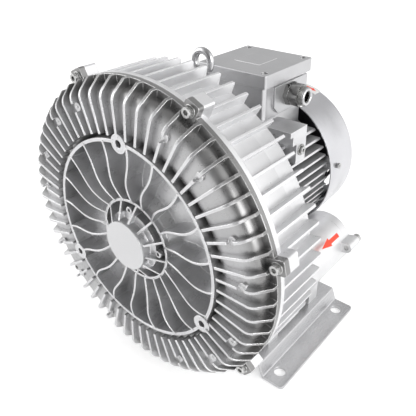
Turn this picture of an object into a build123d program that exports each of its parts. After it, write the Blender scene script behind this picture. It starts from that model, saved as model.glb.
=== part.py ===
from build123d import *
import os
from math import atan2, cos, degrees, hypot, pi, radians, sin

# Side channel blower, single stage, with a foot-mounted casing and a flange-mounted motor.
# The frame has Z up, Y from the finned front cover towards the motor's fan cowl, and its
# origin on the floor in the middle of the four foot holes. Every machine part is drawn about
# the shaft axis with stations along Y, where station 0 is the joint between cover and casing,
# and is moved up to its place when it is written. All sizes are in millimetres.

# Placing of the shaft axis above the floor and of the joint in front of the origin
shaft_height = 195.0
seam_distance = 144.0

# Clearances
fit_gap = 0.05
seat_gap = 0.3
tip_gap = 1.0
face_gap = 0.6

# Joint flanges and clamp lugs
flange_radius = 181.5
cover_flange = 5.8
casing_flange = 5.8
lug_count = 7
lug_bolt_radius = 184.0
lug_width = 17.0
lug_outer_radius = 193.0
cover_lug = 7.0
casing_lug = 15.0
lug_phase = 90.0 + 180.0 / lug_count
clamp_thread = 3.0
clamp_head_radius = 5.0
clamp_head_height = 6.0

# Flow chamber
impeller_radius = 164.5
chamber_depth = 41.0
channel_inner_radius = 128.0
front_channel_depth = 16.5
rear_channel_depth = 20.0
casting_wall = 5.0
web_thickness = 5.0
stripper_angle = 28.0
chamber_radius = impeller_radius + tip_gap

# Cover fins and the channel bulge under them
fin_count = 60
fin_thickness = 3.0
fin_inner_radius = 126.0
fin_height = 29.0
fin_corner_radius = 163.0
fin_end_height = 12.0
bulge_height = front_channel_depth + casting_wall
boss_fins = (4, 7, 11, 14, 19, 22, 26)
fin_boss_radius = 155.4
fin_boss_size = 4.6
fin_boss_height = 24.5

# Cover ring, its three bosses and the S-shaped ribs
ring_radius = 119.0
ring_wall = 3.8
ring_height = 26.2
ring_boss_count = 3
ring_boss_size = 10.5
ring_boss_height = 27.6
ring_boss_hole = 4.25
ring_boss_depth = 18.0
s_rib_count = 20
s_rib_thickness = 2.4
s_rib_swing = 2.0
s_rib_phase = 13.2
s_rib_crown = 28.8
s_rib_steps = 6

# Cover hub
hub_ring_radius = 49.0
hub_ring_wall = 3.2
hub_ring_height = 20.4
plateau_radius = 62.5
plateau_height = 14.0
hub_floor = 8.0
hub_cup_radius = 36.0
hub_cup_height = 22.0
pad_radius = 29.2
pad_height = 34.9
disc_thickness = 0.8
hub_rib_count = 12
hub_rib_thickness = 2.4
hub_boss_count = 4
hub_boss_position = 40.0
hub_boss_size = 4.2
hub_boss_height = 24.0
hub_boss_hole = 2.1

# Casing
body_radius = 172.0
rib_start = 5.8
rib_end = 75.5
rib_thickness = 3.0
casing_depth = 66.0
seat_radius = 80.0
seal_radius = 24.0
motor_bolt_radius = 88.0
motor_bolt_size = 4.0
motor_ear = 9.0
motor_ear_thickness = 10.0

# Lifting eye
eye_station = 102.0
eye_arm_top = 155.0
eye_arm_width = 22.0
eye_ring_radius = 11.6
eye_wire = 3.9
eye_collar_radius = 9.0
eye_collar_height = 3.5
eye_thread = 4.0
eye_thread_length = 14.0

# Ports and silencers
port_offset_x = 86.0
port_offset_z = 117.0
silencer_radius = 42.0
silencer_wall = 3.8
silencer_end = 262.0
silencer_front_wall = 6.0
gasket_thickness = 1.0
liner_radius = 30.0
liner_wall = 1.0
port_flange_thickness = 14.0
port_thread_radius = 28.3
port_ear_position = 49.0
port_ear_size = 8.0
port_ear_depth = 12.0
port_ear_angle = 15.0
port_screw = 4.0
passage_half_angle = 10.0
passage_inner_radius = 133.0
passage_outer_radius = 160.0
wall_screw_spacing = 33.0
wall_screw = 3.0

# Foot brackets
foot_hole_x = 145.0
foot_hole_pitch = 146.0
foot_hole_radius = 7.5
foot_length = 187.0
foot_outer_x = 161.6
foot_bend_x = 131.0
foot_top_x = 124.5
foot_inner_x = 86.0
foot_height = 22.0
foot_sheet = 4.0
foot_screw = 4.0
foot_screw_x = 105.0
foot_screw_pitch = 100.0
foot_pad = 26.0
foot_pad_length = 22.0

# Shaft, bearings and rotor
front_journal = 15.0
front_bearing_outer_radius = 31.0
bearing_width = 16.0
front_bearing_station = -20.0
nut_thread = 12.0
hub_radius = 29.0
shoulder_radius = 17.5
rotor_seat_radius = 19.0
rear_shoulder_radius = 16.0
rear_journal = 12.5
rear_bearing_outer_radius = 26.0
rear_bearing_station = 247.0
fan_seat_radius = 11.0
shaft_end = 300.0
ball_count = 9
blade_count = 40
blade_thickness = 3.0
blade_root_radius = 122.0
land_inner_radius = 110.0
key_width = 8.0
key_top = 18.2
key_bottom = 11.0
key_start = 8.0
key_end = 34.0

# Motor
frame_bore = 70.0
frame_barrel = 76.0
frame_end = 244.0
frame_fin_radius = 94.0
frame_fin_pitch = 10.6
frame_fin_thickness = 2.4
frame_fin_rows = 6
stack_start = 86.0
stack_end = 200.0
stator_inner = 42.5
air_gap = 0.5
slot_count = 24
bar_count = 20
shield_flange = 7.0

# Fan and cowl
cowl_radius = 101.0
cowl_wall = 1.5
cowl_start = 241.0
cowl_end = 315.0
cowl_step = 1.2
cowl_step_station = 275.0
cowl_round = 14.0
cowl_screw_station = 259.0
fan_radius = 88.0
fan_start = 270.0
fan_end = 294.0
fan_blades = 8

# Terminal box
box_half = 45.5
box_start = 154.5
box_end = 251.0
box_bottom = 95.5
box_top = 135.5
box_wall = 3.5
box_pad = 3.0
lid_half = 51.0
lid_start = 150.5
lid_end = 253.0
lid_top = 153.1
lid_skirt = 8.0
lid_plate = 5.0
lid_gasket = 1.5
lid_screw_x = 42.5
lid_screw_start = 160.0
lid_screw_end = 244.0
gland_station = 206.5
gland_height = 119.0
gland_thread = 10.0
gland_bore = 6.5


def front_plane(station):
    """Plane across the shaft axis, seen from the front, with X right and Z up."""
    return Plane((0, station, 0), x_dir=(1, 0, 0), z_dir=(0, -1, 0))


def turned(*outline):
    """Solid turned about the shaft axis from corners given as radius and station."""
    face = make_face(Polyline(*outline, close=True))
    return revolve(face, Axis.Y, 360)


def sector(outline, angle):
    """Part of a turned solid that spans an angle and is centred on +X."""
    face = make_face(Polyline(*outline, close=True))
    return turn(revolve(face, Axis.Y, angle), angle / 2)


def turn(piece, angle):
    """Turn a piece about the shaft axis, from +X towards +Z."""
    return Rot(0, -angle, 0) * piece


def around(piece, angles):
    """Copies of a piece at several angles about the shaft axis."""
    return [turn(piece, angle) for angle in angles]


def even_angles(count, phase=0.0):
    return [phase + 360.0 * index / count for index in range(count)]


def block(sketch, start, end):
    """Extrude a sketch drawn as seen from the front between two stations."""
    return extrude(front_plane(end) * sketch, amount=end - start)


def rod(radius, start, end, x=0.0, z=0.0):
    return block(Pos(x, z) * Circle(radius), start, end)


def pipe(outer, inner, start, end, x=0.0, z=0.0):
    return block(Pos(x, z) * (Circle(outer) - Circle(inner)), start, end)


def radial_plate(outline, thickness):
    """Plate in a plane through the shaft axis, on the +X side."""
    face = make_face(Polyline(*outline, close=True))
    return extrude(face, amount=thickness / 2, both=True)


def polar(radius, angle):
    return radius * cos(radians(angle)), radius * sin(radians(angle))


def cuboid(x_range, y_range, z_range):
    """Box between two values of each of X, station and Z."""
    size = [high - low for low, high in (x_range, y_range, z_range)]
    middle = [(high + low) / 2 for low, high in (x_range, y_range, z_range)]
    return Pos(*middle) * Box(*size)


def socket_screw(thread, head_radius, head_height, shank, key):
    """Socket head screw along Y with the underside of its head at station 0."""
    head = rod(head_radius, -head_height, 0)
    socket = block(RegularPolygon(key, 6), -head_height, -head_height * 0.4)
    return head - socket + rod(thread, 0, shank)


def hex_screw(thread, head_radius, head_height, shank):
    """Hexagon head screw along Y with the underside of its head at station 0."""
    head = block(RegularPolygon(head_radius, 6), -head_height, 0)
    return head + rod(thread, 0, shank)


# Front cover


def channel_outline(depth, side):
    """Corners of a side channel that opens at station 0, deep towards side -1 or +1."""
    outer = chamber_radius
    return (
        (channel_inner_radius, 0),
        (channel_inner_radius + 3, side * depth * 0.5),
        (channel_inner_radius + 12, side * depth),
        (outer - 7, side * depth),
        (outer - 2, side * depth * 0.6),
        (outer, 0),
    )


def fin():
    """Cooling fin of the cover: straight top, rounded corner and a slanting outer end."""
    root = casting_wall / 2
    crest = bulge_height - root
    top = Polyline(
        (fin_inner_radius, -web_thickness),
        (fin_inner_radius, -fin_height),
        (fin_corner_radius, -fin_height),
    )
    corner = ThreePointArc(
        (fin_corner_radius, -fin_height),
        (fin_corner_radius + 6.4, -fin_height + 2.6),
        (fin_corner_radius + 10.0, -fin_height + 6.5),
    )
    end = Polyline(
        (fin_corner_radius + 10.0, -fin_height + 6.5),
        (flange_radius, -fin_end_height),
        (flange_radius, -root),
        (body_radius - 2, -root),
        (chamber_radius + 1, -crest * 0.6),
        (chamber_radius - 6, -crest),
        (channel_inner_radius + 13, -crest),
        (fin_inner_radius, -web_thickness),
    )
    return extrude(make_face(top + corner + end), amount=fin_thickness / 2, both=True)


def s_rib():
    """Thin rib between the hub ring and the big ring, swung to both sides like an S."""
    inner = hub_ring_radius
    outer = ring_radius

    def edge(side):
        points = []
        for step in range(s_rib_steps + 1):
            along = step / s_rib_steps
            radius = inner + along * (outer - inner)
            x, z = polar(radius, s_rib_swing * sin(2 * pi * along))
            points.append((x, z + side * s_rib_thickness / 2))
        return points

    left, right = edge(1), edge(-1)
    outline = Spline(left) + Line(left[-1], right[-1]) + Spline(right) + Line(right[0], left[0])
    wall = block(make_face(outline), -s_rib_crown - 2, -web_thickness / 2)
    middle = (inner + outer) / 2 + 5
    crown = ThreePointArc((inner - 3, -hub_ring_height), (middle, -s_rib_crown), (outer + 2, -ring_height))
    base = Polyline((outer + 2, -ring_height), (outer + 2, 0), (inner - 3, 0), (inner - 3, -hub_ring_height))
    return wall & revolve(make_face(crown + base), Axis.Y, 360)


def clamp_lug(start, end, hole):
    """Lug that stands out of a joint flange, with the hole of its clamp screw."""
    length = lug_outer_radius - body_radius + 4
    outline = Pos(lug_outer_radius - length / 2, 0) * RectangleRounded(length, lug_width, 2.5)
    return block(outline - Pos(lug_bolt_radius, 0) * Circle(hole), start, end)


def cover_shell():
    """Turned body of the cover: flange, channel bulge, web, plateau and rings."""
    half_wall = ring_wall / 2
    shell = turned(
        (front_bearing_outer_radius, 0),
        (channel_inner_radius, 0),
        *channel_outline(front_channel_depth, -1)[1:],
        (flange_radius, 0),
        (flange_radius, -cover_flange),
        (body_radius, -cover_flange),
        (chamber_radius + 2.5, -bulge_height * 0.65),
        (chamber_radius - 5, -bulge_height),
        (channel_inner_radius + 13, -bulge_height),
        (channel_inner_radius, -web_thickness - 2),
        (ring_radius + half_wall, -web_thickness - 2),
        (ring_radius + half_wall, -ring_height),
        (ring_radius - half_wall, -ring_height),
        (ring_radius - half_wall, -web_thickness),
        (plateau_radius, -web_thickness),
        (hub_ring_radius + 4, -plateau_height),
        (hub_ring_radius + hub_ring_wall / 2, -plateau_height),
        (hub_ring_radius + hub_ring_wall / 2, -hub_ring_height),
        (hub_ring_radius - hub_ring_wall / 2, -hub_ring_height),
        (hub_ring_radius - hub_ring_wall / 2, -hub_floor),
        (hub_cup_radius, -hub_floor),
        (hub_cup_radius, -hub_cup_height),
        (pad_radius, -hub_cup_height - 2),
        (pad_radius, -pad_height),
        (0, -pad_height),
        (0, -pad_height + 4),
        (front_bearing_outer_radius - 7, -pad_height + 4),
        (front_bearing_outer_radius - 7, front_bearing_station),
        (front_bearing_outer_radius, front_bearing_station),
    )
    return shell + turn(sector(channel_outline(front_channel_depth + 1, -1), stripper_angle), -90)


def hub_rib():
    root = pad_radius - 1.5
    tip = hub_ring_radius - 1
    outline = (
        (root, -pad_height + 2.5),
        (tip, -hub_ring_height),
        (tip, -hub_floor + 1),
        (hub_cup_radius - 1, -hub_floor + 1),
        (hub_cup_radius - 1, -hub_cup_height + 1),
        (root, -hub_cup_height),
    )
    return radial_plate(outline, hub_rib_thickness)


def front_cover():
    lugs = even_angles(lug_count, lug_phase)
    boss_angles = [90 + side * 360 / fin_count * index for side in (-1, 1) for index in boss_fins]
    clear_boss = rod(fin_boss_size, -fin_height - 1, -fin_boss_height, fin_boss_radius)
    clear_head = rod(clamp_head_radius + 1.5, -fin_height, -cover_lug, lug_bolt_radius)
    fins = Compound(around(fin(), even_angles(fin_count, 90)))
    fins = fins - around(clear_boss, boss_angles) - around(clear_head, lugs)
    fin_boss = rod(fin_boss_size, -fin_boss_height, -bulge_height + 1, fin_boss_radius)
    ring_boss = rod(ring_boss_size, -ring_boss_height, -web_thickness / 2, ring_radius)
    ring_hole = rod(ring_boss_hole, -ring_boss_height - 1, -ring_boss_height + ring_boss_depth, ring_radius)
    hub_boss = rod(hub_boss_size, -hub_boss_height, -hub_floor + 1, hub_boss_position)
    hub_hole = rod(hub_boss_hole, -hub_boss_height - 1, -hub_floor - 2, hub_boss_position)
    ring_angles = even_angles(ring_boss_count, 90)
    hub_angles = even_angles(hub_boss_count)
    cover = cover_shell() + [fins]
    cover = cover + around(fin_boss, boss_angles)
    cover = cover + around(s_rib(), even_angles(s_rib_count, s_rib_phase))
    cover = cover + around(hub_rib(), even_angles(hub_rib_count, 49.2)) + around(hub_boss, hub_angles)
    cover = cover + around(ring_boss, ring_angles)
    cover = cover + around(clamp_lug(-cover_lug, 0, clamp_thread + seat_gap), lugs)
    cover = cover - around(rod(clamp_thread + seat_gap, -cover_lug - 1, 1, lug_bolt_radius), lugs)
    return cover - around(ring_hole, ring_angles) - around(hub_hole, hub_angles)


def centre_disc():
    """Blank disc on the hub pad."""
    return rod(pad_radius + 0.1, -pad_height - disc_thickness, -pad_height)


# Casing


def casing_shell():
    deep = chamber_depth + rear_channel_depth
    channel = [(radius, chamber_depth + station) for radius, station in channel_outline(rear_channel_depth, 1)]
    return turned(
        (chamber_radius, 0),
        (flange_radius, 0),
        (flange_radius, casing_flange),
        (body_radius, casing_flange),
        (body_radius, chamber_depth + 5),
        (body_radius - 4, deep - 4),
        (chamber_radius - 5, casing_depth),
        (channel_inner_radius + 4, casing_depth),
        (channel_inner_radius - 6, chamber_depth + 11),
        (seat_radius + 5, chamber_depth + 7),
        (seat_radius, casing_depth),
        (seat_radius - 14, casing_depth),
        (seat_radius - 14, chamber_depth + 6),
        (seal_radius, chamber_depth + 6),
        (seal_radius, chamber_depth),
        *channel,
    )


def casing_rib():
    """Axial rib of the casing, flush with the flange, with a free slanting rear end."""
    inner = body_radius - 3
    path = Polyline(
        (inner, rib_start - 2),
        (flange_radius, rib_start - 2),
        (flange_radius, rib_end - 3),
    )
    tip = ThreePointArc(
        (flange_radius, rib_end - 3),
        (flange_radius - 0.9, rib_end - 0.8),
        (flange_radius - 3, rib_end),
    )
    rest = Polyline(
        (flange_radius - 3, rib_end),
        (body_radius - 8, casing_depth + 1),
        (chamber_radius - 5, casing_depth - 2),
        (inner, chamber_depth + 8),
        (inner, rib_start - 2),
    )
    return extrude(make_face(path + tip + rest), amount=rib_thickness / 2, both=True)


def eye_arm():
    """Arm on the casing's crown that carries the lifting eye over the machine's balance point."""
    reach = eye_station + eye_arm_width / 2
    outline = Polyline(
        (casing_depth - 12, eye_arm_top),
        (reach, eye_arm_top),
        (reach, eye_arm_top - 20),
        (casing_depth - 12, channel_inner_radius - 4),
        close=True,
    )
    side = Plane((0, 0, 0), x_dir=(0, 1, 0), z_dir=(1, 0, 0))
    return extrude(side * make_face(outline), amount=eye_arm_width / 2, both=True)


def port_angle():
    """Angle of the line from the shaft axis to the right silencer's axis, below +X."""
    return degrees(atan2(port_offset_z, port_offset_x))


def passage(start, end):
    """Kidney-shaped air passage between the rear channel and a silencer."""
    outline = (
        (passage_inner_radius, start),
        (passage_outer_radius, start),
        (passage_outer_radius, end),
        (passage_inner_radius, end),
    )
    return sector(outline, 2 * passage_half_angle)


def passage_angles():
    return (-port_angle(), -180 + port_angle())


def wall_screws(radius, start, end):
    """Round bars at the places of the screws that hold both silencers to the casing."""
    middle = hypot(port_offset_x, port_offset_z)
    spots = []
    for angle in passage_angles():
        for shift in (-wall_screw_spacing, wall_screw_spacing):
            spots.append(turn(rod(radius, start, end, middle, shift), angle))
    return spots


def casing():
    lugs = even_angles(lug_count, lug_phase)
    deep = chamber_depth + rear_channel_depth
    shell = casing_shell()
    stripper = sector(
        [(radius, chamber_depth + station) for radius, station in channel_outline(rear_channel_depth + 1, 1)],
        stripper_angle,
    )
    rib_angles = even_angles(fin_count, 90 + 180 / fin_count)
    ears = [rod(motor_ear, chamber_depth + 4, casing_depth, *polar(motor_bolt_radius, 45 + 90 * turn_index))
            for turn_index in range(4)]
    pads = [rod(silencer_radius, chamber_depth + 9, casing_depth, side * port_offset_x, -port_offset_z)
            for side in (-1, 1)]
    inside = turned((0, -1), (chamber_radius, -1), (chamber_radius, chamber_depth), (0, chamber_depth))
    channel = turned(*[(radius, chamber_depth + station)
                       for radius, station in channel_outline(rear_channel_depth, 1)])
    outer = [pad - inside - channel for pad in pads]
    body = shell + around(casing_rib(), rib_angles) + [eye_arm() - inside - channel]
    body = body + around(clamp_lug(0, casing_lug, clamp_thread + fit_gap), lugs) + outer + ears
    body = body + turn(stripper, -90)
    body = body - around(passage(deep - 1, casing_depth + 1), passage_angles())
    body = body - around(rod(clamp_thread + fit_gap, -1, casing_lug + 1, lug_bolt_radius), lugs)
    body = body - [rod(motor_bolt_size + fit_gap, chamber_depth + 9, casing_depth + 1,
                       *polar(motor_bolt_radius, 45 + 90 * turn_index)) for turn_index in range(4)]
    body = body - wall_screws(wall_screw + fit_gap, casing_depth - 8, casing_depth + 1)
    body = body - [rod(silencer_radius + seat_gap, casing_depth, rib_end + 1, side * port_offset_x,
                       -port_offset_z) for side in (-1, 1)]
    eye_hole = cylinder_up(eye_thread + fit_gap, eye_arm_top - eye_thread_length - 1, eye_arm_top + 1)
    body = body - eye_hole
    return body - turned(*seal_groove())


def cylinder_up(radius, bottom, top):
    """Upright cylinder at the lifting eye's place, between two heights above the axis."""
    return Pos(0, eye_station, (bottom + top) / 2) * Cylinder(radius, top - bottom)


def seal_groove():
    middle = (chamber_radius + flange_radius) / 2 + 1
    return ((middle - 2, -1), (middle + 2, -1), (middle + 2, 2.2), (middle - 2, 2.2))


def seam_seal():
    middle = (chamber_radius + flange_radius) / 2 + 1
    return turned((middle - 1.8, 0), (middle + 1.8, 0), (middle + 1.8, 2.0), (middle - 1.8, 2.0))


def clamp_screws():
    screw = socket_screw(clamp_thread, clamp_head_radius, clamp_head_height, cover_lug + casing_lug, 2.9)
    placed = Pos(lug_bolt_radius, -cover_lug, 0) * screw
    return around(placed, even_angles(lug_count, lug_phase))


def eyebolt():
    ring_height_above = eye_arm_top + eye_collar_height + eye_ring_radius + eye_wire - 1.5
    ring = Pos(0, eye_station, ring_height_above) * Rot(90, 0, 0) * Torus(eye_ring_radius, eye_wire)
    collar = cylinder_up(eye_collar_radius, eye_arm_top, eye_arm_top + eye_collar_height)
    return ring + collar + cylinder_up(eye_thread, eye_arm_top - eye_thread_length, eye_arm_top + 1)


# Silencers and ports


def port_ears(start, end, hole):
    """Two ears for the port flange screws, about the right silencer's axis."""
    ears = []
    for angle in (port_ear_angle, port_ear_angle + 180):
        x, z = polar(port_ear_position, angle)
        neck = Rot(0, 0, angle) * Pos(port_ear_position / 2, 0) * Rectangle(port_ear_position, 2 * port_ear_size)
        ear = neck + Pos(x, z) * Circle(port_ear_size) - Pos(x, z) * Circle(hole)
        ears.append(block(ear, start, end))
    return ears


def at_port(piece, side):
    """Move a piece drawn about the shaft axis to the right (+1) or left (-1) silencer axis."""
    placed = piece if side > 0 else mirror(piece, about=Plane.YZ)
    return Pos(side * port_offset_x, 0, -port_offset_z) * placed


def silencer(side):
    """Cast silencer tube with the foot pads under it and a passage in its front wall."""
    start = casing_depth + gasket_thickness
    body = rod(silencer_radius, start, silencer_end)
    body = body + port_ears(silencer_end - port_ear_depth, silencer_end, port_screw + fit_gap)
    bottom = foot_height - shaft_height + port_offset_z
    x = foot_screw_x - port_offset_x
    for along in (-foot_screw_pitch / 2, foot_screw_pitch / 2):
        middle = seam_distance + along
        body = body + cuboid((x - foot_pad / 2, x + foot_pad / 2),
                             (middle - foot_pad_length / 2, middle + foot_pad_length / 2), (bottom, -20))
    body = body - rod(silencer_radius - silencer_wall, start + silencer_front_wall, silencer_end + 1)
    for along in (-foot_screw_pitch / 2, foot_screw_pitch / 2):
        hole = Cylinder(foot_screw + fit_gap, 13)
        body = body - Pos(x, seam_distance + along, bottom + 5.5) * hole
    ear_holes = []
    for angle in (port_ear_angle, port_ear_angle + 180):
        spot = polar(port_ear_position, angle)
        ear_holes.append(rod(port_screw + fit_gap, silencer_end - port_ear_depth - 1, silencer_end + 1, *spot))
    placed = at_port(body - ear_holes, side)
    angle = passage_angles()[0 if side > 0 else 1]
    placed = placed - turn(passage(start - 1, start + silencer_front_wall + 1), angle)
    return placed - wall_screws(wall_screw + seat_gap, start - 1, start + silencer_front_wall + 1)


def silencer_gasket(side):
    angle = passage_angles()[0 if side > 0 else 1]
    disc = at_port(rod(silencer_radius, casing_depth, casing_depth + gasket_thickness), side)
    disc = disc - turn(passage(casing_depth - 1, casing_depth + gasket_thickness + 1), angle)
    return disc - wall_screws(wall_screw + seat_gap, casing_depth - 1, casing_depth + gasket_thickness + 1)


def silencer_screws():
    start = casing_depth + gasket_thickness + silencer_front_wall
    middle = hypot(port_offset_x, port_offset_z)
    shank = silencer_front_wall + gasket_thickness + 7
    screw = Pos(0, start, 0) * Rot(0, 0, 180) * socket_screw(wall_screw, 2.9, 4.0, shank, 2.0)
    spots = []
    for angle in passage_angles():
        for shift in (-wall_screw_spacing, wall_screw_spacing):
            spots.append(turn(Pos(middle, 0, shift) * screw, angle))
    return spots


def silencer_foam(side):
    start = casing_depth + gasket_thickness + silencer_front_wall + 5
    outer = silencer_radius - silencer_wall - seat_gap
    return at_port(pipe(outer, liner_radius + seat_gap, start, silencer_end - seat_gap), side)


def silencer_liner(side):
    """Slotted sheet tube that holds the foam against the silencer's wall."""
    start = casing_depth + gasket_thickness + silencer_front_wall + 5
    tube = pipe(liner_radius, liner_radius - liner_wall, start, silencer_end)
    length = (silencer_end - start) / 4
    for row in range(3):
        middle = start + length * (row + 1)
        slot = cuboid((-liner_radius - 2, liner_radius + 2), (middle - 15, middle + 15), (-6, 6))
        tube = tube - slot - turn(slot, 90)
    return at_port(tube, side)


def port_flange(side):
    """Port flange with the female pipe thread, cut to its core size."""
    end = silencer_end + port_flange_thickness
    body = rod(silencer_radius, silencer_end, end) + port_ears(silencer_end, end, port_screw + seat_gap)
    holes = []
    for angle in (port_ear_angle, port_ear_angle + 180):
        holes.append(rod(port_screw + seat_gap, silencer_end - 1, end + 1, *polar(port_ear_position, angle)))
    lead = turned((0, end - 2), (port_thread_radius, end - 2), (port_thread_radius + 2, end), (0, end))
    body = body - rod(port_thread_radius, silencer_end - 1, end) - lead - holes
    return at_port(body, side)


def port_screws():
    end = silencer_end + port_flange_thickness
    shank = port_flange_thickness + port_ear_depth - 1
    screw = Pos(0, end, 0) * Rot(0, 0, 180) * socket_screw(port_screw, 6.5, 8.0, shank, 3.8)
    placed = []
    for side in (1, -1):
        for angle in (port_ear_angle, port_ear_angle + 180):
            x, z = polar(port_ear_position, angle)
            placed.append(at_port(Pos(x, 0, z) * screw, side))
    return placed


# Feet


def foot(side):
    """Folded sheet foot: bolt flange on the floor, leaning web and a flange under the silencer."""
    outline = make_face(Polyline(
        (foot_outer_x, 0),
        (foot_bend_x, 0),
        (foot_top_x, foot_height - foot_sheet),
        (foot_inner_x, foot_height - foot_sheet),
        (foot_inner_x, foot_height),
        (foot_top_x + 2.6, foot_height),
        (foot_bend_x + 2.6, foot_sheet),
        (foot_outer_x, foot_sheet),
        close=True,
    ))
    outline = fillet(outline.vertices().filter_by_position(Axis.X, foot_top_x - 1, foot_bend_x + 4), 2.5)
    middle = seam_distance
    body = block(outline, middle - foot_length / 2, middle + foot_length / 2)
    for along in (-foot_hole_pitch / 2, foot_hole_pitch / 2):
        body = body - Pos(foot_hole_x, middle + along, 0) * Cylinder(foot_hole_radius, 3 * foot_sheet)
    for along in (-foot_screw_pitch / 2, foot_screw_pitch / 2):
        body = body - Pos(foot_screw_x, middle + along, foot_height) * Cylinder(foot_screw + seat_gap, 10)
    corners = body.edges().filter_by(Axis.Z).filter_by_position(Axis.X, foot_outer_x - 1, foot_outer_x + 1)
    body = fillet(corners, 5)
    placed = Pos(0, 0, -shaft_height) * body
    return placed if side > 0 else mirror(placed, about=Plane.YZ)


def foot_screws():
    underside = foot_height - foot_sheet - shaft_height
    screw = Rot(90, 0, 0) * hex_screw(foot_screw, 7.5, 5.3, foot_sheet + 10)
    placed = []
    for side in (-1, 1):
        for along in (-foot_screw_pitch / 2, foot_screw_pitch / 2):
            placed.append(Pos(side * foot_screw_x, seam_distance + along, underside) * screw)
    return placed


# Rotor


def shaft():
    nut_end = front_bearing_station
    body = turned(
        (0, nut_end - 9),
        (nut_thread - 1, nut_end - 9),
        (nut_thread, nut_end - 8),
        (nut_thread, nut_end),
        (front_journal, nut_end),
        (front_journal, chamber_depth - 0.4),
        (shoulder_radius, chamber_depth - 0.4),
        (shoulder_radius, stack_start - 6),
        (rotor_seat_radius, stack_start - 6),
        (rotor_seat_radius, stack_end + 6),
        (rear_shoulder_radius, stack_end + 6),
        (rear_shoulder_radius, rear_bearing_station),
        (rear_journal, rear_bearing_station),
        (rear_journal, rear_bearing_station + bearing_width),
        (fan_seat_radius, rear_bearing_station + bearing_width),
        (fan_seat_radius, fan_end + 1),
        (fan_seat_radius - 1, fan_end + 1),
        (fan_seat_radius - 1, fan_end + 2.4),
        (fan_seat_radius, fan_end + 2.4),
        (fan_seat_radius, shaft_end - 1),
        (fan_seat_radius - 1, shaft_end),
        (0, shaft_end),
    )
    half = key_width / 2
    return body - cuboid((-half, half), (key_start, key_end), (key_bottom, key_top + 2))


def impeller_key():
    half = key_width / 2 - fit_gap
    return cuboid((-half, half), (key_start + fit_gap, key_end - fit_gap), (key_bottom, key_top))


def impeller():
    """Impeller with a coned web, a sealing rim and radial blades round a half-moon web."""
    front = face_gap
    rear = chamber_depth - face_gap
    middle = chamber_depth / 2
    hub = turned(
        (front_journal + fit_gap, front + 0.4),
        (hub_radius, front + 0.4),
        (hub_radius + 2, middle - 6),
        (land_inner_radius, middle - 3.3),
        (land_inner_radius, front),
        (blade_root_radius, front),
        (blade_root_radius, front + 7),
        (blade_root_radius + 12, middle - 4),
        (blade_root_radius + 28, middle - 1.2),
        (blade_root_radius + 28, middle + 1.2),
        (blade_root_radius + 12, middle + 4),
        (blade_root_radius, rear - 7),
        (blade_root_radius, rear),
        (land_inner_radius, rear),
        (land_inner_radius, middle + 3.3),
        (hub_radius + 2, middle + 6),
        (hub_radius, rear),
        (front_journal + fit_gap, rear),
    )
    blade = radial_plate(
        (
            (blade_root_radius - 1, front),
            (impeller_radius, front),
            (impeller_radius, rear),
            (blade_root_radius - 1, rear),
        ),
        blade_thickness,
    )
    body = hub + around(blade, even_angles(blade_count))
    half = key_width / 2
    return body - cuboid((-half, half), (-1, chamber_depth), (0, key_top + 0.4)) - rod(
        front_journal + fit_gap, 0, chamber_depth)


def impeller_spacer():
    """Sleeve between the front bearing and the impeller hub."""
    return pipe(front_journal + 5, front_journal + fit_gap, front_bearing_station + bearing_width,
                face_gap + 0.4)


def shaft_nut():
    """Slotted round nut that holds bearing, sleeve and impeller against the shoulder."""
    start = front_bearing_station - 7
    body = pipe(nut_thread + 7, nut_thread + fit_gap, start, front_bearing_station)
    notch = cuboid((nut_thread + 4, nut_thread + 8), (start - 1, start + 8), (-2.5, 2.5))
    return body - around(notch, even_angles(4))


def rotor_core():
    body = pipe(stator_inner - air_gap, rotor_seat_radius + fit_gap, stack_start, stack_end)
    slot = Pos(stator_inner - 6.5, 0) * Rectangle(7, 3.4)
    cut = block(slot, stack_start - 1, stack_end + 1)
    return body - around(cut, even_angles(bar_count))


def rotor_cage():
    """Cast cage: two end rings joined by the bars in the rotor's slots."""
    rings = []
    for start, end in ((stack_start - 5, stack_start), (stack_end, stack_end + 5)):
        rings.append(pipe(stator_inner - air_gap - 1, rotor_seat_radius + 9, start, end))
    bar = block(Pos(stator_inner - 6.5, 0) * Rectangle(7 - 2 * fit_gap, 3.4 - 2 * fit_gap),
                stack_start - 1, stack_end + 1)
    return rings[0] + rings[1] + around(bar, even_angles(bar_count))


def bearing_ring(bore, outer, start, inside):
    """Inner or outer ring of a ball bearing, with its ball groove."""
    pitch = (bore + outer) / 2
    ball = (outer - bore) * 0.29
    middle = start + bearing_width / 2
    end = start + bearing_width
    gap = 0.15
    if inside:
        wall, land, deep = bore + fit_gap, pitch - ball * 0.62, pitch - ball - gap
    else:
        wall, land, deep = outer - fit_gap, pitch + ball * 0.62, pitch + ball + gap
    return turned(
        (wall, start),
        (land, start),
        (land, middle - ball - 0.5),
        (deep, middle - ball * 0.5),
        (deep, middle + ball * 0.5),
        (land, middle + ball + 0.5),
        (land, end),
        (wall, end),
    )


def bearing_balls(bore, outer, start):
    ball = Pos((bore + outer) / 2, start + bearing_width / 2, 0) * Sphere((outer - bore) * 0.29)
    return around(ball, even_angles(ball_count))


def bearing_cage(bore, outer, start):
    """Ball cage: two side rings joined by bars that run between the balls."""
    pitch = (bore + outer) / 2
    ball = (outer - bore) * 0.29
    middle = start + bearing_width / 2
    half = ball + 1.6
    rings = []
    for side in (-1, 1):
        low = middle + side * half
        high = middle + side * (half - 1.2)
        rings.append(pipe(pitch + 1.2, pitch - 1.2, min(low, high), max(low, high)))
    bar = block(Pos(pitch, 0) * Rectangle(2.0, 1.6), middle - half + 0.5, middle + half - 0.5)
    return rings[0] + rings[1] + around(bar, even_angles(ball_count, 180 / ball_count))


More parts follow.
